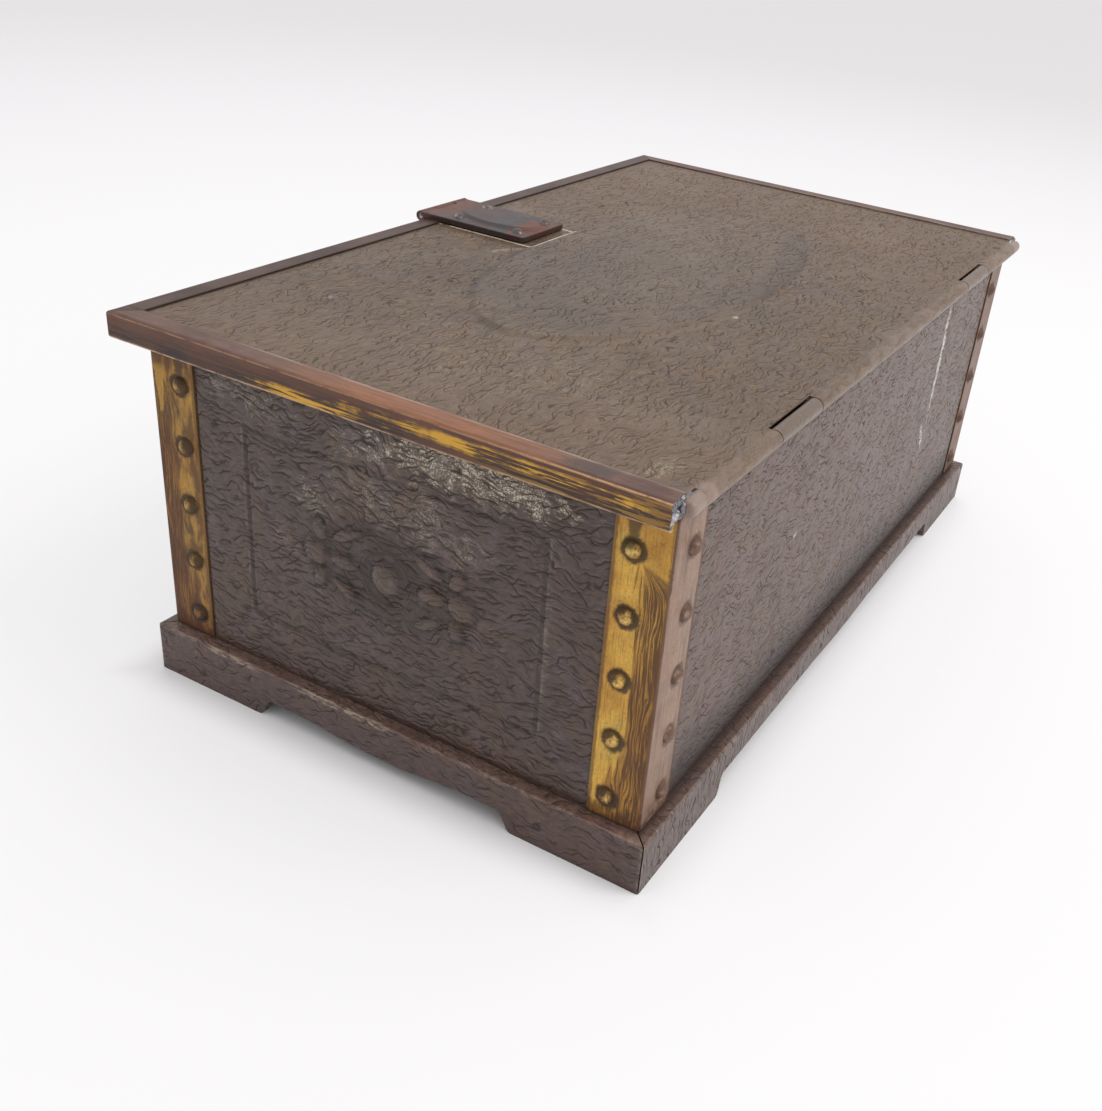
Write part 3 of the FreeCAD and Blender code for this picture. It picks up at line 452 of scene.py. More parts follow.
def back_marks(b, axes):
    """Darker towards the foot in a wavy band, painted shadow under the lid's rolled edge and beside
    the straps, and the hinge tongues rubbed bare.
    """
    wave = b.times(b.wave(b.joined(axes["x"], 0.0, 4.0), 24.0, 2.0, 0.5), 22.0)
    foot = b.ramp(b.add(axes["z"], wave), 42.0, 20.0)
    # Painted shadow under the lid's rolled edge (head) and beside the straps' edges (side).
    head = b.times(b.ramp(axes["z"], TONGUE_FOOT - 3.2, TONGUE_FOOT - 0.2),
                   b.ramp(axes["z"], TONGUE_FOOT + 0.8, TONGUE_FOOT))
    side = b.ramp(b.absolute(axes["x"]), END_FACE - 17.4, END_FACE - 16.0)
    tongue = b.ramp(axes["z"], TONGUE_FOOT, TONGUE_FOOT + 1.0)
    brown = paint(44, 34, 31)
    return b.times(tongue, 0.8), [
        (b.times(foot, 0.85), brown), (b.times(b.most(head, side), 0.5), brown),
        (b.times(tongue, 0.75), paint(112, 96, 82))]


def lid_marks(b, axes):
    """A dark line round the raised oval, partly dirt and partly painted shade of its slope, with a
    painted shade arc and a painted light band on that slope; painted shadow by the trims; a pale
    painted highlight in the gap beside the hasp plate; and the rubbed rear edge."""
    x, y = axes["x"], axes["y"]
    ragged = b.wave(b.joined(x, y, 9.0), 14.0, 3.0, 0.6)
    around = b.length(b.joined(b.over(x, OVAL_HALF_LENGTH),
                               b.over(b.less(y, OVAL_Y), OVAL_HALF_WIDTH), 0.0))
    around = b.add(around, b.times(ragged, 0.05))
    # The dark line round the oval: partly dirt, partly painted shade at the foot of its slope.
    oval = b.times(b.band(around, 0.985, 1.01, 0.025),
                   b.ramp(b.noise(b.joined(x, y, 2.0), 22.0), 0.35, 0.55))
    # Where the slope is shaded already the line fades, and a pale band there is painted light.
    faint = b.times(b.ramp(x, 0.0, 30.0), b.ramp(y, -14.0, 0.0))
    oval = b.times(oval, b.rest(b.times(faint, 0.8)))
    # Painted shade on the rear part of the oval's slope.
    painted_shade_arc = b.times(b.band(around, 0.86, 0.97, 0.09),
                     b.times(b.ramp(x, 22.0, -6.0), b.ramp(y, 12.0, 22.0)))
    inside = b.ramp(around, 1.0, 0.93)
    rear = b.ramp(y, BACK_FACE, BACK_FACE + 3.0)
    # Painted shadow on the lid under the trims' flanges.
    trim = b.most(b.ramp(b.absolute(x), END_FACE - 1.4, END_FACE + 0.2),
                  b.ramp(y, 0.3 - BACK_FACE, -1.3 - BACK_FACE))
    trim = b.times(trim, b.rest(rear))
    grain = b.noise(b.joined(b.times(x, 0.35), y, axes["z"]), 3.0, 4.0, 0.6)
    rubbed = b.times(rear, b.ramp(grain, 0.42, 0.6))
    # A pale line beside the hasp plate: a painted highlight in the gap under its edges, broken by
    # flaking.
    plate = b.most(b.less(b.absolute(b.less(x, HASP_X)), HASP_HALF_WIDTH), b.less(y, HASP_REAR))
    flaked = b.ramp(b.noise(b.joined(x, y, 6.0), 4.0, 3.0, 0.6), 0.4, 0.5)
    line = b.times(b.band(plate, 0.0, 0.9, 0.3), flaked)
    close = b.times(rear, b.ramp(b.absolute(b.add(x, b.times(ragged, 30.0))), 138.0, 147.0))
    broad = b.noise(b.joined(x, y, 12.0), 42.0, 3.0, 0.55)
    far = b.band(x, -147.0, -128.0, 14.0)
    return b.times(rear, 0.75), [
        (b.times(b.ramp(broad, 0.52, 0.68), 0.45), paint(82, 66, 54)),
        (b.times(b.ramp(broad, 0.46, 0.32), 0.4), paint(122, 105, 88)),
        (b.times(far, 0.35), paint(94, 82, 62)),
        (b.times(b.ramp(x, 10.0, -110.0), 0.4), paint(114, 83, 54)),
        (b.times(b.ramp(x, 90.0, 140.0), 0.35), paint(122, 98, 80)),
        (b.times(inside, 0.16), paint(104, 98, 96)), (b.times(oval, 0.45), paint(52, 44, 42)),
        (b.times(painted_shade_arc, 0.38), paint(66, 52, 44)),
        (b.times(b.times(b.band(around, 0.97, 1.05, 0.03), faint), 0.35), paint(124, 106, 90)),
        (b.times(rubbed, 0.5), paint(132, 112, 98)), (b.times(trim, 0.75), paint(42, 33, 28)),
        (b.times(line, 0.95), paint(216, 206, 184)), (b.times(close, 0.75), paint(150, 130, 120))]


def plinth_depths(b, axes):
    """How far inside the plinth's end faces and inside its long faces a point lies."""
    return (b.less(END_FACE + PLINTH_OUT, b.absolute(axes["x"])),
            b.less(BACK_FACE + PLINTH_OUT, b.absolute(axes["y"])))


def plinth_marks(b, axes, out, side, dirt):
    """The rubbed crown edge and corners, and the paler ledge of the plinth, lightened further as
    painted light against the shade by the wall. Out is the depth inside its face, side the depth
    inside the faces round the corner, and dirt how much darker the ledge is, most next to the wall."""
    ledge = b.ramp(axes["z"], PLINTH_CROWN - 0.4, PLINTH_CROWN + 0.1)
    # Darker on the ledge next to the wall.
    gutter = b.times(ledge, b.ramp(out, 1.6, 3.6))
    crown = b.length(b.joined(out, b.less(axes["z"], PLINTH_CROWN), 0.0))
    rub = b.ramp(b.noise(b.joined(axes["x"], axes["y"], axes["z"]), 2.6, 5.0, 0.65), 0.46, 0.62)
    wear = b.most(b.times(b.ramp(crown, 1.3, 0.5), rub),
                  b.times(b.ramp(side, 1.6, 0.3), b.add(rub, 0.3)))
    foot = b.ramp(axes["z"], 2.5, 0.0)
    # The ledge's own paler tint, lightened further as painted light against the shade by the wall,
    # broken by grain.
    grain = b.noise(b.joined(axes["x"], axes["y"], 7.0), 1.6, 4.0, 0.65)
    lightened_ledge = b.times(ledge, b.ramp(grain, 0.36, 0.62, 0.35, 1.0))
    dust = paint(148 - 20 * dirt, 120 - 15 * dirt, 108 - 13 * dirt)
    return b.times(ledge, 0.2), [
        (b.times(lightened_ledge, 0.85 - 0.35 * dirt), dust),
        (b.times(gutter, 0.75 * dirt), paint(62, 47, 42)),
        (b.times(wear, 0.4), paint(150, 130, 116)), (b.times(foot, 0.4), paint(50, 42, 40))]


def end_plinth_marks(b, axes):
    """The ends' plinth, with red stains and two scratched places on its crown."""
    out, side = plinth_depths(b, axes)
    calm, tints = plinth_marks(b, axes, out, side, 0.2)
    crown = b.length(b.joined(out, b.less(axes["z"], PLINTH_CROWN - 0.4), 0.0))
    where = b.most(b.band(axes["y"], -64.0, -54.0, 8.0), b.band(axes["y"], -27.0, -2.0, 8.0))
    grain = b.noise(b.joined(b.times(axes["y"], 0.25), axes["z"], out), 1.0, 4.0, 0.65)
    scratch = b.times(b.times(where, b.ramp(crown, 1.6, 0.5)), b.ramp(grain, 0.44, 0.58))
    red = b.ramp(b.noise(b.joined(axes["y"], axes["z"], 21.0), 15.0, 3.0, 0.6), 0.48, 0.66)
    return calm, tints + [(b.times(red, 0.35), paint(90, 60, 48)),
                          (b.times(scratch, 0.8), paint(176, 156, 134))]


def long_plinth_marks(b, axes):
    """The back's and the front's plinth, with a darker ledge, darkest next to the wall."""
    side, out = plinth_depths(b, axes)
    return plinth_marks(b, axes, out, side, 1.0)


PALE = paint(200, 188, 166)
REDDISH = paint(168, 132, 120)
WHITE = paint(225, 222, 214)

# Rubbed places of a face: centre, half size, turn in radians, colour and strength
end_patches = [
    ((26.0, 106.5), (31.0, 7.5), 0.0, PALE, 2.3),
    ((-6.0, 104.0), (16.0, 5.0), 0.0, PALE, 0.5),
    ((6.0, 89.0), (30.0, 11.0), 0.2, PALE, 0.4),
    ((-26.0, 82.0), (8.0, 7.0), 0.5, PALE, 0.5),
    ((-36.0, 64.0), (7.0, 5.0), 0.0, REDDISH, 0.6),
    ((-50.0, 106.0), (22.0, 6.0), 0.1, PALE, 0.45),
    ((52.0, 70.0), (2.4, 40.0), 0.0, PALE, 0.2),
]
back_patches = [
    ((-77.0, 88.0), (2.0, 28.0), 0.05, WHITE, 6.0),
    ((-74.0, 58.0), (1.6, 8.0), 0.5, WHITE, 3.0),
    ((62.0, 72.0), (1.6, 0.8), 0.6, WHITE, 2.6),
]
lid_patches = [
    ((28.0, 42.0), (1.6, 1.1), 0.0, WHITE, 6.0),
    ((-79.0, -26.0), (2.2, 1.5), 0.3, WHITE, 6.0),
    ((22.0, -50.0), (9.0, 2.2), 0.5, PALE, 1.6),
    ((20.0, -66.0), (3.0, 13.0), 0.0, REDDISH, 1.0),
    ((104.0, -59.0), (3.0, 2.0), 0.4, PALE, 1.2),
    ((120.0, 10.0), (34.0, 60.0), 0.0, PALE, 0.25),
    ((142.0, 76.0), (9.0, 3.4), 0.4, PALE, 0.9),
]

BROWN = paint(84, 62, 48)
PLUM = paint(84, 68, 70)
DARK = paint(34, 27, 26)
finishes = {
    "end_wall": lacquer("lacquer_end_wall", "yz", 11.0, paint(76, 60, 53), BROWN, PLUM, DARK,
                        keep=0.53, patches=end_patches, marks=rosette_marks),
    "far_end_wall": lacquer("lacquer_far_end_wall", "yz", 53.0, paint(80, 64, 60), BROWN,
                            PLUM, DARK, patches=end_patches[2:5], marks=rosette_marks),
    "back_wall": lacquer("lacquer_back_wall", "xz", 23.0, paint(92, 70, 58), BROWN,
                         paint(96, 75, 72), DARK, fineness=1.35, patches=back_patches,
                         marks=back_marks, cut_share=0.52, contrast=2.1),
    "front_wall": lacquer("lacquer_front_wall", "xz", 71.0, paint(86, 70, 62), BROWN, PLUM, DARK,
                          fineness=1.35, marks=back_marks, cut_share=0.52),
    "lid": lacquer("lacquer_lid", "xy", 37.0, paint(98, 79, 60), paint(98, 75, 52),
                   paint(94, 77, 66), paint(46, 34, 27), fineness=1.2, keep=0.51,
                   patches=lid_patches, marks=lid_marks, depth=0.00016, roughness=0.43,
                   contrast=1.95, cut_share=0.5),
    "end_plinth": lacquer("lacquer_end_plinth", "yz", 5.0, paint(80, 60, 54), BROWN, PLUM, DARK,
                          marks=end_plinth_marks),
    "long_plinth": lacquer("lacquer_long_plinth", "zx", 17.0, paint(88, 70, 64), BROWN, PLUM, DARK,
                           marks=long_plinth_marks),
}


def strap_gold():
    """Gold lacquer on the corner straps: brown rubbed streaks on the corner side, dark rings, a
    painted highlight on the studs' domes, and on the long side a painted reflection.
    """
    material, b, shader, place = new_material("strap_gold")
    x, y, z = b.parts(place)
    in_x = b.less(END_FACE + STRAP_OUT, b.absolute(x))
    in_y = b.less(BACK_FACE + STRAP_OUT, b.absolute(y))
    long_side = b.ramp(in_y, 0.5, 0.3)
    older = b.ramp(y, 20.0, -60.0)
    inward = b.most(in_x, in_y)

    # Dark rings round the studs, a painted highlight on their domes, and a drip above the top stud
    level = b.less(z, STUD_LEVELS[0] - STUD_STEP / 2)
    level = b.less(b.math("MODULO", level, STUD_STEP), STUD_STEP / 2)
    reach = 99.0
    for stud_x, stud_y in ((0.0, STUD_INSET), (STUD_INSET, 0.0)):
        off = b.joined(b.less(in_x, stud_x), b.less(in_y, stud_y), level)
        reach = b.least(reach, b.length(off))
    wobble = b.times(b.wave(place, 1.7, 4.0, 0.7), 2.6)
    edge = b.add(reach, wobble)
    ring = b.times(b.ramp(edge, 1.5, 2.3), b.ramp(edge, 4.3, 3.2))
    ring = b.times(ring, b.rest(b.times(long_side, 0.5)))
    drop = b.add(b.absolute(b.less(inward, STUD_INSET + 0.4)), b.times(wobble, 0.9))
    drop = b.less(drop, b.times(b.less(z, 104.0), 0.16))
    drip = b.times(b.times(b.ramp(z, 102.0, 104.0), b.ramp(drop, 1.6, 0.4)), 0.85)
    ring = b.most(ring, b.times(drip, b.rest(long_side)))
    specks = b.ramp(b.noise(place, 0.6, 3.0, 0.7), 0.48, 0.62)
    # A painted highlight on each stud's dome.
    painted_dome_highlight = b.times(b.ramp(edge, 2.3, 1.0), b.rest(b.times(long_side, 0.9)))
    painted_dome_highlight = b.times(painted_dome_highlight, b.rest(b.times(specks, 0.6)))
    painted_dome_highlight = b.times(painted_dome_highlight, b.rest(b.times(older, 0.6)))
    smudge = b.times(b.ramp(edge, 3.6, 2.0), b.ramp(b.noise(place, 2.0, 3.0), 0.36, 0.54))
    smudge = b.times(long_side, smudge)

    # Scratches that fan out below the top stud, on the corner side of the strap
    fan_top, fan_side = 101.0, 9.0
    ragged = b.times(b.wave(b.joined(b.times(z, 0.2), in_x, in_y), 3.0, 3.0),
                     b.times(older, 60.0))
    below, towards = b.less(fan_top, b.add(z, ragged)), b.less(fan_side, inward)
    fan = b.over(towards, b.most(b.ramp(below, -1.5, 10.0), 0.05))
    bend = b.times(b.wave(b.joined(b.times(z, 0.045), b.times(fan, 0.2), long_side)), 5.0)
    line = b.joined(b.times(z, 0.03), b.add(fan, bend), b.times(long_side, 9.0))
    grain = b.noise(line, 0.5, 4.0, 0.68)
    coarse = b.noise(line, 2.2, 2.0, 0.5)
    spread = b.add(towards, b.times(b.most(b.less(42.0, z), 0.0), 0.36))
    rubbed = b.ramp(b.add(spread, b.times(b.less(coarse, 0.5), 9.0)), 0.2, 1.8)
    rubbed = b.times(rubbed, b.ramp(b.less(below, b.times(towards, 0.4)), 0.0, 2.0))
    rubbed = b.times(rubbed, b.rest(b.times(long_side, 0.85)))
    lines = b.times(rubbed, b.ramp(b.add(grain, b.times(towards, 0.011)), 0.47, 0.585))
    hair = b.ramp(b.noise(b.joined(b.times(z, 0.04), in_x, in_y), 0.4, 3.0, 0.6), 0.5, 0.66)
    streaks = b.most(b.times(lines, 0.95), b.times(hair, 0.4))
    streaks = b.most(streaks, b.times(b.ramp(b.add(inward, b.times(coarse, 1.8)), 2.0, 1.4), 0.8))

    # Bright lacquer on the end side; on the long side a pale pinkish tone, a painted reflection of
    # the bright surroundings at a grazing view; darker on the older straps
    fleck = b.ramp(b.noise(place, 0.9, 4.0, 0.7), 0.56, 0.68)
    grime = b.use(GRIME, {
        "Point": place, "Colour": paint(212, 168, 80), "Stain": paint(164, 114, 54),
        "Bloom": paint(190, 158, 84), "Stain share": 0.75, "Contrast": 1.2}, None)
    smear = b.ramp(b.noise(b.joined(b.times(z, 0.3), in_x, in_y), 4.0, 5.0, 0.65), 0.42, 0.6)
    long_side_reflection = b.use(GRIME, {
        "Point": place, "Colour": paint(146, 122, 113), "Stain": paint(122, 94, 80),
        "Bloom": paint(132, 110, 106), "Stain share": 0.8, "Contrast": 1.0}, None)
    colour = b.mixed(b.times(long_side, 0.88), grime["Colour"], long_side_reflection["Colour"])
    colour = b.mixed(b.times(older, 0.3), colour, paint(150, 104, 66))
    worn = b.times(rubbed, b.ramp(below, 4.0, 34.0, 0.1, 0.6))
    colour = b.mixed(worn, colour, paint(138, 88, 46))
    drawn = b.noise(b.joined(b.times(z, 0.05), in_x, in_y), 2.2, 4.0, 0.62)
    light = b.times(long_side, b.ramp(drawn, 0.52, 0.66, 0.0, 0.4))
    colour = b.mixed(light, colour, paint(176, 144, 130))
    dark = b.times(long_side, b.ramp(drawn, 0.46, 0.34, 0.0, 0.45))
    colour = b.mixed(dark, colour, paint(98, 72, 62))
    colour = b.mixed(b.times(painted_dome_highlight, 0.75), colour, paint(240, 208, 132))
    colour = b.mixed(b.times(smudge, 0.7), colour, paint(92, 68, 58))
    colour = b.scaled(colour, b.between(older, 1.0, 0.8))
    far = b.times(long_side, b.ramp(x, 0.0, -100.0))
    colour = b.mixed(b.times(far, 0.55), colour, paint(104, 74, 62))

    # Darkening: streaks, rings, the strap's own edge and its foot, and at its head painted shadow
    # under the trim's skirt
    rim = b.ramp(b.add(inward, b.times(wobble, 0.5)), 15.3, 16.0)
    brown = b.most(b.most(streaks, b.times(ring, 0.95)), b.times(rim, 0.7))
    brown = b.most(brown, b.times(fleck, 0.45))
    foot = b.times(b.ramp(z, 27.0, 18.0), b.ramp(b.noise(place, 3.0, 4.0, 0.6), 0.38, 0.58))
    foot = b.most(foot, b.ramp(z, 19.6, 17.6))
    # Painted shadow under the trim's skirt at the strap's head.
    head = b.ramp(z, 112.5, 115.0)
    brown = b.most(brown, b.times(b.times(older, smear), 0.85))
    brown = b.least(b.add(brown, b.times(b.most(foot, head), 0.7)), 1.0)
    colour = b.mixed(b.times(brown, 0.9), colour,
                     b.mixed(ring, paint(72, 40, 25), paint(38, 25, 20)))
    rough = b.add(0.34, b.times(grime["Middle"], 0.22))
    rough = b.less(b.add(rough, b.times(brown, 0.18)), b.times(painted_dome_highlight, 0.16))
    metal = b.between(long_side, b.between(brown, 0.75, 0.15), 0.35)
    height = b.add(b.times(brown, -0.4), b.times(grain, 0.5))
    height = b.add(height, b.times(grime["Fine"], 0.4))
    finish_material(b, shader, colour, rough, metal, height, 0.00012)
    return material


def trim_copper():
    """The lid trims: copper on top, dark brown with gold rubbed streaks on the skirt."""
    material, b, shader, place = new_material("trim_copper")
    x, y, z = b.parts(place)
    out_x = b.less(END_FACE + TRIM_OUT, b.absolute(x))
    out_y = b.less(y, -BACK_FACE - FRONT_TRIM_OUT)
    end_side = b.ramp(b.less(out_x, out_y), 0.1, -0.1)
    along = b.between(end_side, x, y)
    strip = b.joined(along, z, b.times(end_side, 40.0))

    # The skirt
    drawn = b.vector("MULTIPLY", strip, (0.5, 1.0, 1.0))
    streak = b.use(STREAKS, {"Point": drawn, "Size": 0.95, "Level": 0.47}, None)
    placed = b.times(b.ramp(along, 20.0, 60.0), 0.35)
    for centre, length in (((-22.0, 115.6, 0.0), 26.0), ((40.0, 118.2, 0.0), 52.0)):
        placed = b.most(placed, b.use(WORN_PATCH, {
            "Point": strip, "Centre": centre, "Size": (length, 2.0, 1.0), "Grain": 6.0,
            "Ragged": 1.6}))
    placed = b.times(placed, b.ramp(x, 0.0, 100.0))
    gold = b.times(placed, streak["Mask"])
    skirt = b.mixed(b.ramp(b.noise(strip, 9.0, 4.0, 0.6), 0.4, 0.7),
                    paint(50, 36, 33), paint(76, 49, 38))
    skirt = b.mixed(b.times(b.ramp(z, 116.0, 120.8), 0.6), skirt, paint(106, 68, 52))
    skirt = b.mixed(b.times(streak["Mask"], 0.3), skirt, paint(118, 78, 52))
    skirt = b.mixed(gold, skirt, paint(204, 158, 66))
    # Pale lines along the skirt's lower edge and under the rounded top: worn edges, partly a
    # painted highlight.
    edge = b.most(b.ramp(z, 114.8, 114.3), b.times(b.ramp(z, 120.8, 121.2), 0.6))
    edge = b.times(edge, b.ramp(b.noise(strip, 5.0, 3.0, 0.6), 0.36, 0.56, 0.2, 0.85))
    skirt = b.mixed(edge, skirt, paint(204, 168, 134))
    grime = b.use(GRIME, {"Point": place, "Colour": paint(124, 96, 84), "Stain": paint(94, 68, 60),
                          "Bloom": paint(110, 84, 78), "Stain share": 0.8, "Contrast": 0.8}, None)

    # The top: a painted copper highlight on the right trim, broken by scratches; painted shadow
    # along the flange's inner edge on the front trim, a pale line there on the end trims, and a
    # seam at the mitre
    # A painted highlight: copper sheen in the middle of the right trim's top.
    painted_copper_sheen = b.ramp(b.absolute(b.less(along, 15.0)), 62.0, 10.0)
    painted_copper_sheen = b.times(painted_copper_sheen, b.times(end_side, b.ramp(x, 0.0, 100.0)))
    crown = b.scaled(grime["Colour"], b.between(end_side, 0.62, 1.0))
    scratched = b.joined(b.times(along, 0.06), b.least(out_x, out_y), 4.0)
    scratched = b.noise(scratched, 0.7, 4.0, 0.65)
    copper = b.scaled(paint(169, 116, 84), b.add(0.25, b.times(scratched, 1.5)))
    crown = b.mixed(b.times(painted_copper_sheen, 0.75), b.scaled(crown, b.add(0.5, scratched)), copper)
    grey = b.use(WORN_PATCH, {"Point": place, "Centre": (154.0, 63.0, LID_TOP),
                              "Size": (5.0, 9.0, 1.0), "Grain": 3.0, "Ragged": 2.0})
    crown = b.mixed(b.times(grey, 0.6), crown, paint(82, 76, 76))
    # Painted shadow along the flange's inner edge on the front trim; a dark seam at the mitre.
    low, high = TRIM_FLANGE - 0.7, TRIM_FLANGE + 0.4
    inner = b.most(b.band(out_x, low, high, 0.4), b.band(out_y, low, high, 0.4))
    seam = b.times(b.band(b.less(out_x, out_y), -0.3, 0.3, 0.15), b.ramp(out_x, high, high - 0.6))
    dark = b.most(b.times(b.times(inner, b.rest(end_side)), 0.45), seam)
    crown = b.mixed(b.times(dark, 0.9), crown, paint(34, 24, 22))
    pale = b.times(b.times(inner, end_side), b.ramp(scratched, 0.4, 0.55, 0.2, 1.0))
    pale = b.times(pale, b.ramp(along, -74.0, -20.0, 0.0, 1.0))
    crown = b.mixed(b.times(pale, 0.6), crown, paint(182, 166, 152))

    # Both, and a glint along the rounded edge between them
    top = b.ramp(z, LID_TOP - 0.75, LID_TOP - 0.45)
    colour = b.mixed(top, skirt, crown)
    glint = b.times(b.band(z, LID_TOP - 0.62, LID_TOP - 0.46, 0.14), b.ramp(along, 20.0, 75.0))
    glint = b.times(glint, b.times(end_side, b.ramp(x, 0.0, 100.0)))
    glint = b.times(glint, b.ramp(b.noise(strip, 3.0, 3.0, 0.6), 0.34, 0.5, 0.35, 1.0))
    colour = b.mixed(b.times(glint, 0.75), colour, paint(232, 184, 136))
    rough = b.add(0.36, b.times(grime["Middle"], 0.2))
    metal = b.between(top, b.between(gold, 0.2, 0.7), 0.6)
    height = b.add(b.times(streak["Grain"], 0.5), b.times(grime["Fine"], 0.35))
    finish_material(b, shader, colour, rough, metal, b.less(height, seam), 0.00012)
    return material


def worn_iron(name, base, rust, rust_share, bare, metallic=0.45, roughness=0.48, rust_spots=(),
              edge_level=None, rub_level=0.62):
    """Dark steel with rust and rubbed places; on the rivets and the solder the bright rubbed places
    are painted highlights. Below the edge level a sheet's side is brown.
    """
    material, b, shader, place = new_material(name)
    grime = b.use(GRIME, {
        "Point": place, "Colour": base, "Stain": rust, "Bloom": b.scaled(base, 0.8),
        "Stain share": rust_share, "Contrast": 0.9}, None)
    colour = grime["Colour"]
    for centre, size in rust_spots:
        mask = b.use(WORN_PATCH, {"Point": place, "Centre": centre, "Size": size + (1.0,),
                                  "Grain": 2.4, "Ragged": 1.8})
        colour = b.mixed(b.times(mask, 0.8), colour, rust)
    if edge_level:
        z = b.parts(place)[2]
        side = b.times(b.ramp(z, edge_level, edge_level - 0.4),
                       b.ramp(z, LID_TOP - 0.6, LID_TOP - 0.4))
        colour = b.mixed(b.times(side, 0.8), colour, paint(58, 37, 31))
    rub = b.ramp(b.noise(place, 2.2, 5.0, 0.68), rub_level, rub_level + 0.12)
    colour = b.mixed(b.times(rub, 0.6), colour, bare)
    rough = b.add(roughness, b.times(b.less(grime["Middle"], 0.5), 0.4))
    height = b.add(b.times(grime["Fine"], 0.5), b.times(b.noise(place, 2.0, 4.0, 0.6), 0.8))
    finish_material(b, shader, colour, rough, b.add(metallic, b.times(rub, 0.3)), height, 0.00018)
    return material


RUST = paint(120, 76, 60)
finishes.update({
    "strap": strap_gold(),
    "trim": trim_copper(),
    "hasp": worn_iron("hasp_iron", paint(84, 80, 82), RUST, 0.35, paint(150, 146, 142),
                      rust_spots=[((HASP_X, -92.0, 0.0), (20.0, 9.0)),
                                  ((HASP_X, -54.0, 0.0), (19.0, 7.0))], edge_level=123.6),
    # On the rivets the bright rubbed places are painted highlights.
    "rivet": worn_iron("rivet_steel", paint(98, 92, 90), RUST, 0.5, paint(212, 206, 200), 0.7, 0.36,
                        rub_level=0.52),
    "wire": worn_iron("hinge_wire", paint(104, 98, 92), RUST, 0.5, paint(160, 154, 146), 0.7, 0.42),
    "tray": worn_iron("tray_tin", paint(118, 112, 104), paint(110, 84, 62), 0.5,
                      paint(158, 154, 146), 0.6, 0.46),
    # On the solder the bright rubbed places are painted highlights.
    "solder": worn_iron("solder_tin", paint(128, 126, 130), paint(66, 60, 60), 0.8,
                        paint(244, 244, 246), 0.75, 0.3, rub_level=0.53),
})

dressed = {
    "body_right_end_wall": "end_wall", "body_left_end_wall": "far_end_wall",
    "body_back_wall": "back_wall", "body_front_wall": "front_wall", "body_bottom": "tray",
    "lid_panel": "lid", "hinge_wire": "wire",
    "plinth_right": "end_plinth", "plinth_left": "end_plinth",
    "plinth_front": "long_plinth", "plinth_back": "long_plinth",
    "corner_strap_rear_right": "strap", "corner_strap_front_right": "strap",
    "corner_strap_rear_left": "strap", "corner_strap_front_left": "strap",
    "lid_front_trim": "trim", "lid_right_trim": "trim", "lid_left_trim": "trim",
    "hasp_plate": "hasp", "hasp_strap": "hasp", "staple_plate": "hasp",
    "hasp_plate_rivets": "rivet", "hasp_pin": "rivet", "staple": "rivet",
    "staple_plate_rivets": "rivet",
}
for node, finish in dressed.items():
    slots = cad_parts[node].data.materials
    slots.clear()
    slots.append(finishes[finish])


# Pressed lacquer sheets laid over the outer faces, with the grooves as real relief

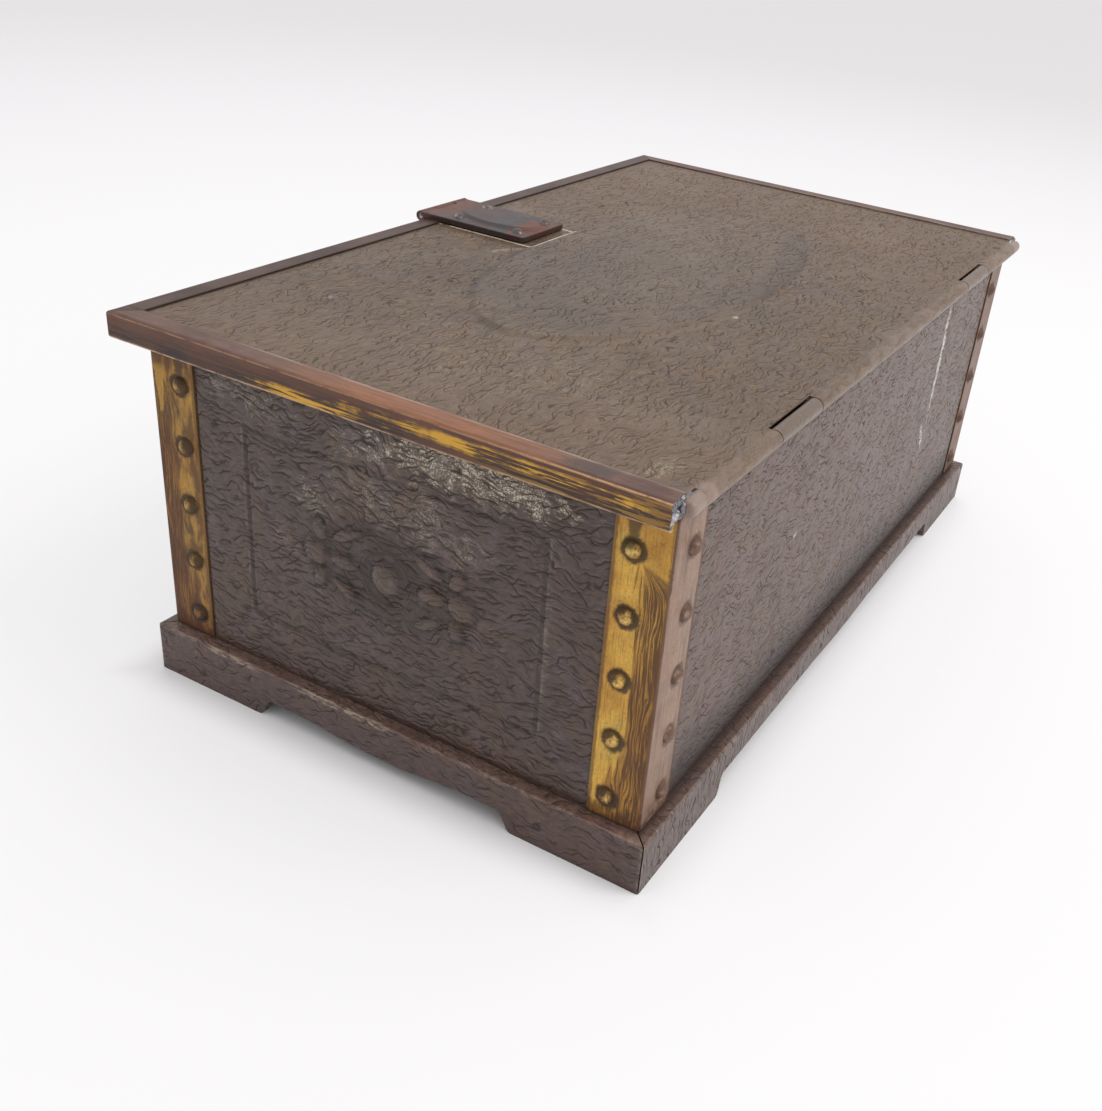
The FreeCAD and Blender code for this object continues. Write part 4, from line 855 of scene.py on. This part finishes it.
def make_sheet(b, given):
    """A fine grid thrown onto a wall from Start outside it, then lifted by the relief. Its edge
    dips under the wall's face, and so does a clear place that another piece covers. Lengths are
    in metres, apart from Spacing and Line."""
    grid = b.put("GeometryNodeMeshGrid", {
        "Size X": given["Length"], "Size Y": given["Height"],
        "Vertices X": given["Columns"], "Vertices Y": given["Rows"]})
    spot = b.parts(b.put("GeometryNodeInputPosition"))
    run = b.add(spot[0], b.times(given["Length"], 0.5))
    rise = b.add(spot[1], b.times(given["Height"], 0.5))
    level = b.vector("ADD", given["Corner"], b.scaled(given["Along"], run))
    flat = b.vector("ADD", level, b.scaled(given["Up"], rise))
    hit = b.put("GeometryNodeRaycast", {
        "Target Geometry": b.put("GeometryNodeObjectInfo", {"Object": given["Wall"]}, "Geometry"),
        "Source Position": b.vector("SUBTRACT", flat, b.scaled(given["Inward"], given["Start"])),
        "Ray Direction": given["Inward"], "Ray Length": given["Reach"]}).node.outputs
    base = b.put("GeometryNodeSwitch", {
        "Switch": hit["Is Hit"], "False": flat, "True": hit["Hit Position"]}, input_type="VECTOR")
    mm = b.scaled(b.vector("SUBTRACT", base, (0.0, MIDDLE_Y * MM, 0.0)), 1 / MM)
    along, up = b.dot(mm, given["Along axis"]), b.dot(mm, given["Up axis"])
    point = b.joined(along, b.less(up, b.absolute(b.dot(mm, given["Inward"]))), given["Seed"])
    tracks, shoulders, _ = worm_tracks(b, point, given["Fineness"], given["Spacing"],
                                       given["Line"], given["Keep"])
    swell = b.noise(point, 5.0)
    relief = b.less(b.add(0.5, swell), b.add(b.times(tracks, 0.35), b.times(shoulders, 0.65)))
    boss = b.length(b.joined(along, b.less(up, PANEL_LEVEL), 0.0))
    calm = b.times(b.ramp(boss, BOSS_RADIUS + 0.5, BOSS_RADIUS - 1.1), given["Calm boss"])
    relief = b.between(calm, relief, 0.3)
    edge = b.least(b.least(run, b.less(given["Length"], run)),
                   b.least(rise, b.less(given["Height"], rise)))
    inside = b.ramp(edge, 0.0, given["Border"])
    here = b.parts(base)
    low, high = b.parts(given["Clear low"]), b.parts(given["Clear high"])
    gap = b.most(b.most(b.less(low[0], here[0]), b.less(here[0], high[0])),
                 b.most(b.less(low[1], here[1]), b.less(here[1], high[1])))
    inside = b.times(inside, b.ramp(gap, 0.0, 0.0008))
    lift = b.add(given["Sunk"], b.times(relief, given["Depth"]))
    lift = b.between(inside, b.times(given["Sunk"], -1.0), lift)
    moved = b.vector("SUBTRACT", base, b.scaled(given["Inward"], lift))
    sheet = b.put("GeometryNodeSetPosition", {"Geometry": grid, "Position": moved})
    sheet = b.put("GeometryNodeSetShadeSmooth", {"Geometry": sheet, "Shade Smooth": True})
    sheet = b.put("GeometryNodeRealizeInstances", {"Geometry": sheet})
    return (b.put("GeometryNodeSetMaterial", {"Geometry": sheet, "Material": given["Material"]}),)


PRESSED_SHEET = new_group(
    "pressed_sheet",
    [("Geometry", "Geometry", None), ("Wall", "Object", None), ("Length", "Float", 0.1),
     ("Height", "Float", 0.1), ("Columns", "Int", 100), ("Rows", "Int", 100),
     ("Corner", "Vector", None), ("Along", "Vector", None), ("Up", "Vector", None),
     ("Inward", "Vector", None), ("Along axis", "Vector", None), ("Up axis", "Vector", None),
     ("Start", "Float", 0.012), ("Reach", "Float", 0.02), ("Border", "Float", 0.002),
     ("Sunk", "Float", 0.00005), ("Clear low", "Vector", (9, 9, 9)),
     ("Clear high", "Vector", (9, 9, 9)), ("Fineness", "Float", 1.0), ("Spacing", "Float", 2.0),
     ("Line", "Float", 0.13), ("Keep", "Float", 0.5), ("Calm boss", "Float", 0.0),
     ("Seed", "Float", 0.0), ("Depth", "Float", 0.0002), ("Material", "Material", None)],
    [("Geometry", "Geometry")], make_sheet, "GeometryNodeTree")


def grown(tree, name, values):
    """Runs a geometry tree and keeps what it makes as a plain mesh piece."""
    holder = bpy.data.objects.new(name + "_holder", bpy.data.meshes.new(name + "_holder"))
    bpy.context.scene.collection.objects.link(holder)
    modifier = holder.modifiers.new("grown", "NODES")
    modifier.node_group = tree
    for item in tree.interface.items_tree:
        if item.item_type == "SOCKET" and item.in_out == "INPUT" and item.name in values:
            value = values[item.name]
            if isinstance(value, (tuple, Vector)):
                value = [float(number) for number in value]
            modifier[item.identifier] = value
    holder.update_tag()
    bpy.context.view_layer.update()
    ready = bpy.context.evaluated_depsgraph_get()
    mesh = bpy.data.meshes.new_from_object(holder.evaluated_get(ready), depsgraph=ready)
    bpy.data.objects.remove(holder)
    piece = bpy.data.objects.new(name, mesh)
    bpy.context.scene.collection.objects.link(piece)
    return piece


X, Y, Z = Vector((1, 0, 0)), Vector((0, 1, 0)), Vector((0, 0, 1))


def lay_sheet(name, wall, finish, corner, along, up, length, height, cell, more,
              body="box"):
    """A pressed sheet on a wall. Corner, length, height and the grid's cell are in millimetres,
    and more holds the values that differ from sheet to sheet."""
    material = finishes[finish]
    piece = grown(PRESSED_SHEET, name, {
        "Wall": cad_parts[wall], "Length": length * MM, "Height": height * MM,
        "Columns": int(length / cell), "Rows": int(height / cell),
        "Corner": Vector(corner) * MM, "Along": along, "Up": up, "Inward": -along.cross(up),
        "Along axis": Vector(map(abs, along)), "Up axis": Vector(map(abs, up)),
        "Material": material, **more})
    piece.data.materials.clear()
    piece.data.materials.append(material)
    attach(piece, body)


# The walls' sheets begin just above the plinth and end just short of the straps
SHEET_FOOT, SHEET_INSET = 17.6, 15.8
HASP_CLEAR = 1.5


def lay_sheets():
    """One sheet on each wall and one on the lid, which stays low under the hasp plate."""
    short, long = 2 * (BACK_FACE - SHEET_INSET), 2 * (END_FACE - SHEET_INSET)
    for side, hand, finish, more in (
            (1, "right", "end_wall", {"Seed": 11.0, "Keep": 0.53, "Depth": 0.00018}),
            (-1, "left", "far_end_wall", {"Seed": 53.0, "Depth": 0.00017})):
        lay_sheet(f"pressed_end_{hand}", f"body_{hand}_end_wall", finish,
                  (side * END_FACE, MIDDLE_Y - side * short / 2, SHEET_FOOT),
                  side * Y, Z, short, 97.0, 0.4, {"Calm boss": 1.0, **more})
    for side, name, seed in ((1, "back", 23.0), (-1, "front", 71.0)):
        lay_sheet(f"pressed_{name}", f"body_{name}_wall", f"{name}_wall",
                  (side * long / 2, MIDDLE_Y + side * BACK_FACE, SHEET_FOOT),
                  -side * X, Z, long, 94.0, 0.62,
                  {"Seed": seed, "Depth": 0.00013, "Fineness": 1.35})
    reach = HASP_HALF_WIDTH + HASP_CLEAR
    clear_low = Vector((HASP_X - reach, MIDDLE_Y - BACK_FACE - FRONT_TRIM_OUT - 2.2, 0.0)) * MM
    clear_high = Vector((HASP_X + reach, MIDDLE_Y + HASP_REAR + HASP_CLEAR, 0.0)) * MM
    lay_sheet("pressed_lid", "lid_panel", "lid", (-147.5, MIDDLE_Y - 84.0, LID_TOP),
              X, Y, 295.0, 164.0, 0.6,
              {"Seed": 37.0, "Keep": 0.51, "Depth": 0.00009, "Fineness": 1.2,
               "Clear low": clear_low, "Clear high": clear_high}, "lid")


SOLDER_LIMIT = END_FACE + TRIM_OUT - 0.05


def blob(shape, centre, size, seed, square=2.0, dents=1.0):
    """A lump: a ball drawn out by size and dented all over, in millimetres. It stays in the box.
    Above 2, square fills the ball out towards a rod with rounded ends."""
    made = bmesh.ops.create_icosphere(shape, subdivisions=4, radius=1.0)
    for vert in made["verts"]:
        way = vert.co
        fill = (abs(way.x) ** square + math.hypot(way.y, way.z) ** square) ** (-1 / square)
        dent = 1.0 + dents * 0.22 * noise.noise(way * 2.1 + Vector((seed, 0, 0)))
        dent += dents * 0.12 * noise.noise(way * 6.0 + Vector((0, seed, 0)))
        x, y, z = [c + s * dent * fill * v for c, s, v in zip(centre, size, way)]
        x = max(min(x, SOLDER_LIMIT), -SOLDER_LIMIT)
        vert.co = Vector((x, min(y, MIDDLE_Y + BACK_FACE + ROLL_OUT), z)) * MM


def close_corner(name, side, finish, blobs, **shape_of):
    """Lumps that close the rear end of a lid trim, or carry the rolled edge on to it."""
    mesh = bpy.data.meshes.new(name)
    shape = bmesh.new()
    for number, (centre, size) in enumerate(blobs):
        blob(shape, (side * centre[0], MIDDLE_Y + BACK_FACE + centre[1], centre[2]), size,
             3.7 * number + side, **shape_of)
    bmesh.ops.recalc_face_normals(shape, faces=shape.faces)
    for face in shape.faces:
        face.smooth = True
    shape.to_mesh(mesh)
    shape.free()
    piece = bpy.data.objects.new(name, mesh)
    bpy.context.scene.collection.objects.link(piece)
    mesh.materials.append(finishes[finish])
    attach(piece, "lid")


# Each lump: its centre, with y counted from the back wall's face, and its half lengths
trim_end = [((153.9, 1.15, 118.6), (3.3, 0.55, 3.1)), ((155.9, 1.1, 120.2), (1.3, 0.75, 1.5)),
            ((156.3, 1.0, 116.0), (0.85, 0.6, 1.9)), ((152.2, 1.4, 120.4), (1.9, 0.9, 1.2)),
            ((154.9, 1.5, 118.3), (0.9, 0.7, 1.0)), ((152.6, 1.3, 117.2), (1.2, 0.5, 1.5)),
            ((153.1, 1.9, 118.9), (1.1, 1.1, 2.0)), ((155.0, 1.6, 121.0), (1.3, 0.7, 0.7)),
            ((150.2, 1.7, 120.8), (2.3, 0.9, 0.8))]
roll_end = [((148.6, 2.9, 118.92), (4.6, 2.46, 2.46))]
lay_sheets()
for side, hand in ((1, "right"), (-1, "left")):
    close_corner("solder_" + hand, side, "solder", trim_end)
    close_corner("roll_end_" + hand, side, "lid", roll_end, square=7.0, dents=0.12)


# Camera, light and floor

def place_camera():
    """The photograph's viewpoint, fitted to corners and edge points of the box. The shift is for
    the photograph's crop."""
    data = bpy.data.cameras.new("camera")
    data.sensor_width = 36.0
    data.lens = 40.043
    data.shift_x, data.shift_y = -0.0756, -0.0023
    data.clip_start, data.clip_end = 0.01, 50.0
    camera = bpy.data.objects.new("camera", data)
    right = Vector((-0.48465, 0.86927, 0.09739))
    up = Vector((-0.39112, -0.31496, 0.86477))
    back = Vector((0.78239, 0.38102, 0.49263))
    turn = Matrix((right, up, back)).transposed().to_4x4()
    camera.matrix_world = Matrix.Translation((0.38315, 0.19335, 0.24820)) @ turn
    bpy.context.scene.collection.objects.link(camera)
    bpy.context.scene.camera = camera


def seen_plainly(b):
    """1 for what the camera sees, directly or in a mirror or glass."""
    path = b.put("ShaderNodeLightPath").node.outputs
    return b.most(path["Is Camera Ray"], b.most(path["Is Glossy Ray"], path["Is Transmission Ray"]))


def light_the_room():
    """A world that is brightest above the back of the box, and one large soft lamp."""
    world = bpy.data.worlds.new("studio")
    bpy.context.scene.world = world
    world.use_nodes = True
    b = Bench(world.node_tree)
    for node in list(world.node_tree.nodes):
        world.node_tree.nodes.remove(node)
    way = b.put("ShaderNodeTexCoord", result="Generated")
    towards = b.dot(way, Vector((-0.25, 0.5, 0.83)).normalized())
    strength = b.ramp(towards, -0.45, 0.95, 0.26, 1.12)
    strength = b.between(seen_plainly(b), strength, 0.81)
    glow = b.put("ShaderNodeBackground", {"Color": (1.0, 0.99, 1.0, 1.0), "Strength": strength})
    out = world.node_tree.nodes.new("ShaderNodeOutputWorld")
    b.feed(out.inputs["Surface"], glow)

    lamp = bpy.data.lights.new("key", "AREA")
    lamp.shape, lamp.size = "DISK", 0.9
    lamp.energy, lamp.color = 10.0, (1.0, 0.99, 0.97)
    light = bpy.data.objects.new("key", lamp)
    light.location = (-0.25, 1.2, 1.5)
    light.rotation_mode = "QUATERNION"
    light.rotation_quaternion = (light.location - Vector((0, 0, 0.05))).to_track_quat("Z", "Y")
    bpy.context.scene.collection.objects.link(light)


def lay_floor():
    """A pale paper disc, painted darker far from the box as shade for the light falling off. Away
    from the box it glows where it is seen, and so stays pale.
    """
    mesh = bpy.data.meshes.new("floor")
    shape = bmesh.new()
    bmesh.ops.create_circle(shape, cap_ends=True, segments=64, radius=9.0)
    shape.to_mesh(mesh)
    shape.free()
    floor = bpy.data.objects.new("floor", mesh)
    bpy.context.scene.collection.objects.link(floor)
    material, b, shader, place = new_material("floor_paper")
    far = b.length(b.vector("MULTIPLY", place, (1.0, 1.0, 0.0)))
    # Darker far from the box: painted shade for light falling off with distance.
    colour = b.mixed(b.ramp(far, 300.0, 1700.0), paint(253, 252, 253), paint(233, 230, 232))
    beside = b.least(*plinth_depths(b, b.axes(place)))
    open_floor = b.ramp(beside, 4.0, -16.0)
    speck = b.noise(place, 60.0, 3.0, 0.5)
    b.feed(shader.inputs["Base Color"], b.scaled(colour, 0.96))
    b.feed(shader.inputs["Roughness"], b.add(0.75, b.times(speck, 0.1)))
    glow = b.put("ShaderNodeEmission", {"Color": colour, "Strength": 1.0})
    share = b.times(b.times(seen_plainly(b), 0.62), open_floor)
    blend = b.put("ShaderNodeMixShader", {0: share, 1: shader.outputs[0], 2: glow})
    out = next(n for n in material.node_tree.nodes if n.type == "OUTPUT_MATERIAL")
    b.feed(out.inputs["Surface"], blend)
    mesh.materials.append(material)


place_camera()
light_the_room()
lay_floor()
bpy.context.scene.view_settings.view_transform = "Standard"
